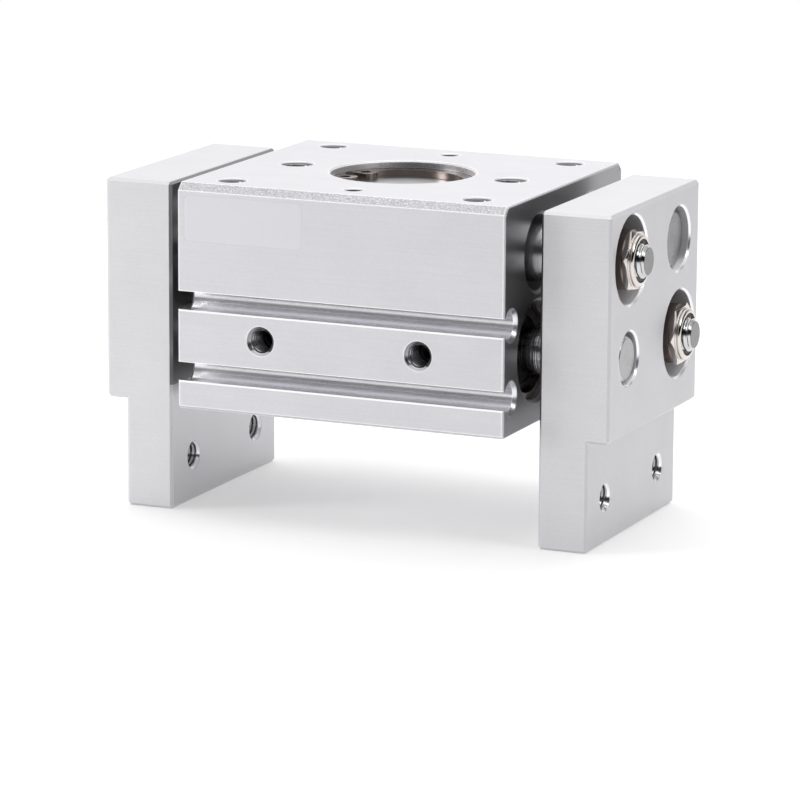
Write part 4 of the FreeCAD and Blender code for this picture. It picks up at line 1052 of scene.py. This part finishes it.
def lay_floor():
    """A wide disc just under the jaws, whose own light only the camera and mirrors see."""
    bpy.ops.mesh.primitive_circle_add(vertices=96, radius=FLOOR_RADIUS, fill_type="NGON",
                                      location=(0, 0, CAD_BOX[0][2] - FLOOR_GAP))
    floor = bpy.context.object
    floor.name = "floor"
    material, tree, shader, place = start_material("white_floor", 0.0, 0.9)
    shader.inputs["Base Color"].default_value = (FLOOR_GREY, FLOOR_GREY, FLOOR_GREY, 1)
    distance = add(tree, "ShaderNodeVectorMath", operation="LENGTH")
    feed(tree, distance.inputs[0], place)
    far = remap(tree, distance.outputs["Value"], FADE_START, FADE_END)
    path = add(tree, "ShaderNodeLightPath")
    own_light = add(tree, "ShaderNodeEmission", {"Strength": OWN_LIGHT})
    lit = add(tree, "ShaderNodeAddShader")
    feed(tree, lit.inputs[0], shader.outputs[0])
    feed(tree, lit.inputs[1], own_light.outputs[0])
    white = add(tree, "ShaderNodeEmission", {"Strength": 1.0})
    ground = add(tree, "ShaderNodeMixShader", {"Fac": far})
    feed(tree, ground.inputs[1], lit.outputs[0])
    feed(tree, ground.inputs[2], white.outputs[0])
    seen = calc(tree, "MAXIMUM", path.outputs["Is Camera Ray"], path.outputs["Is Glossy Ray"])
    choice = add(tree, "ShaderNodeMixShader", {"Fac": seen})
    feed(tree, choice.inputs[1], shader.outputs[0])
    feed(tree, choice.inputs[2], ground.outputs[0])
    feed(tree, tree.nodes["Material Output"].inputs["Surface"], choice.outputs[0])
    dress(floor, material)
    return floor


print("floor:", lay_floor().name)


# %% [markdown]
# ## Light
# The world is the photographer's room: a large bright ceiling, a white backdrop behind, a table
# that glows low down, and a dark room on the camera's side, which polished metal mirrors as black
# bands. Each of these has a brightness and a span of directions over which it fades in. Three lamps
# shape the rest.

# %% World
BACKDROP, BACKDROP_SPAN = 1.1, (0.2, 0.5)
CEILING, CEILING_SPAN = 0.75, (0.5, 0.66)
TABLE, TABLE_SPAN = 0.7, (0.05, 0.15)
RIGHT_SIDE, RIGHT_SPAN = 0.08, (0.0, 0.7)
DARK_ROOM = 0.06


def set_world():
    world = bpy.data.worlds.new("studio")
    bpy.context.scene.world = world
    world.use_nodes = True
    tree = world.node_tree
    tree.nodes.clear()
    direction = add(tree, "ShaderNodeTexCoord").outputs["Generated"]
    parts = add(tree, "ShaderNodeSeparateXYZ", {"Vector": direction}).outputs
    behind = calc(tree, "MULTIPLY_ADD", parts["Z"], 0.5, parts["Y"])
    backdrop = remap(tree, behind, *BACKDROP_SPAN, DARK_ROOM, BACKDROP)
    table = remap(tree, parts["Z"], *TABLE_SPAN, TABLE, DARK_ROOM)
    ceiling = remap(tree, parts["Z"], *CEILING_SPAN, DARK_ROOM, CEILING)
    right = remap(tree, parts["X"], *RIGHT_SPAN, 1.0, RIGHT_SIDE)
    brightest = either(tree, either(tree, table, ceiling), backdrop)
    tent = add(tree, "ShaderNodeBackground", {"Strength": calc(tree, "MULTIPLY", brightest, right)})
    white = add(tree, "ShaderNodeBackground", {"Strength": 1.0})
    for background in (tent, white):
        background.inputs["Color"].default_value = (1, 1, 1, 1)
    path = add(tree, "ShaderNodeLightPath")
    mix = add(tree, "ShaderNodeMixShader", {"Fac": path.outputs["Is Camera Ray"]})
    feed(tree, mix.inputs[1], tent.outputs[0])
    feed(tree, mix.inputs[2], white.outputs[0])
    output = add(tree, "ShaderNodeOutputWorld")
    feed(tree, output.inputs["Surface"], mix.outputs[0])
    return world


print("world:", set_world().name)


# %% Lamps
LAMP_TARGET = Vector((0, 0, 0.03))
LAMPS = (("overhead", (0.08, 0.12, 0.75), (1.2, 1.2), 3.6),
         ("front_left", (-0.88, -0.56, 0.30), (0.3, 0.6), 4.3),
         ("right_high", (0.65, -0.10, 0.55), (0.3, 0.3), 1.1))


def add_lamp(name, place, size, watts):
    lamp = bpy.data.objects.new(name, bpy.data.lights.new(name, "AREA"))
    lamp.data.shape = "RECTANGLE"
    lamp.data.size, lamp.data.size_y = size
    lamp.data.energy = watts
    lamp.location = place
    lamp.rotation_mode = "QUATERNION"
    lamp.rotation_quaternion = (LAMP_TARGET - Vector(place)).to_track_quat("-Z", "Y")
    lamp.visible_camera = False
    bpy.context.scene.collection.objects.link(lamp)


for lamp in LAMPS:
    add_lamp(*lamp)
bpy.context.scene.view_settings.view_transform = "Standard"
print("lamps:", [name for name, *rest in LAMPS])
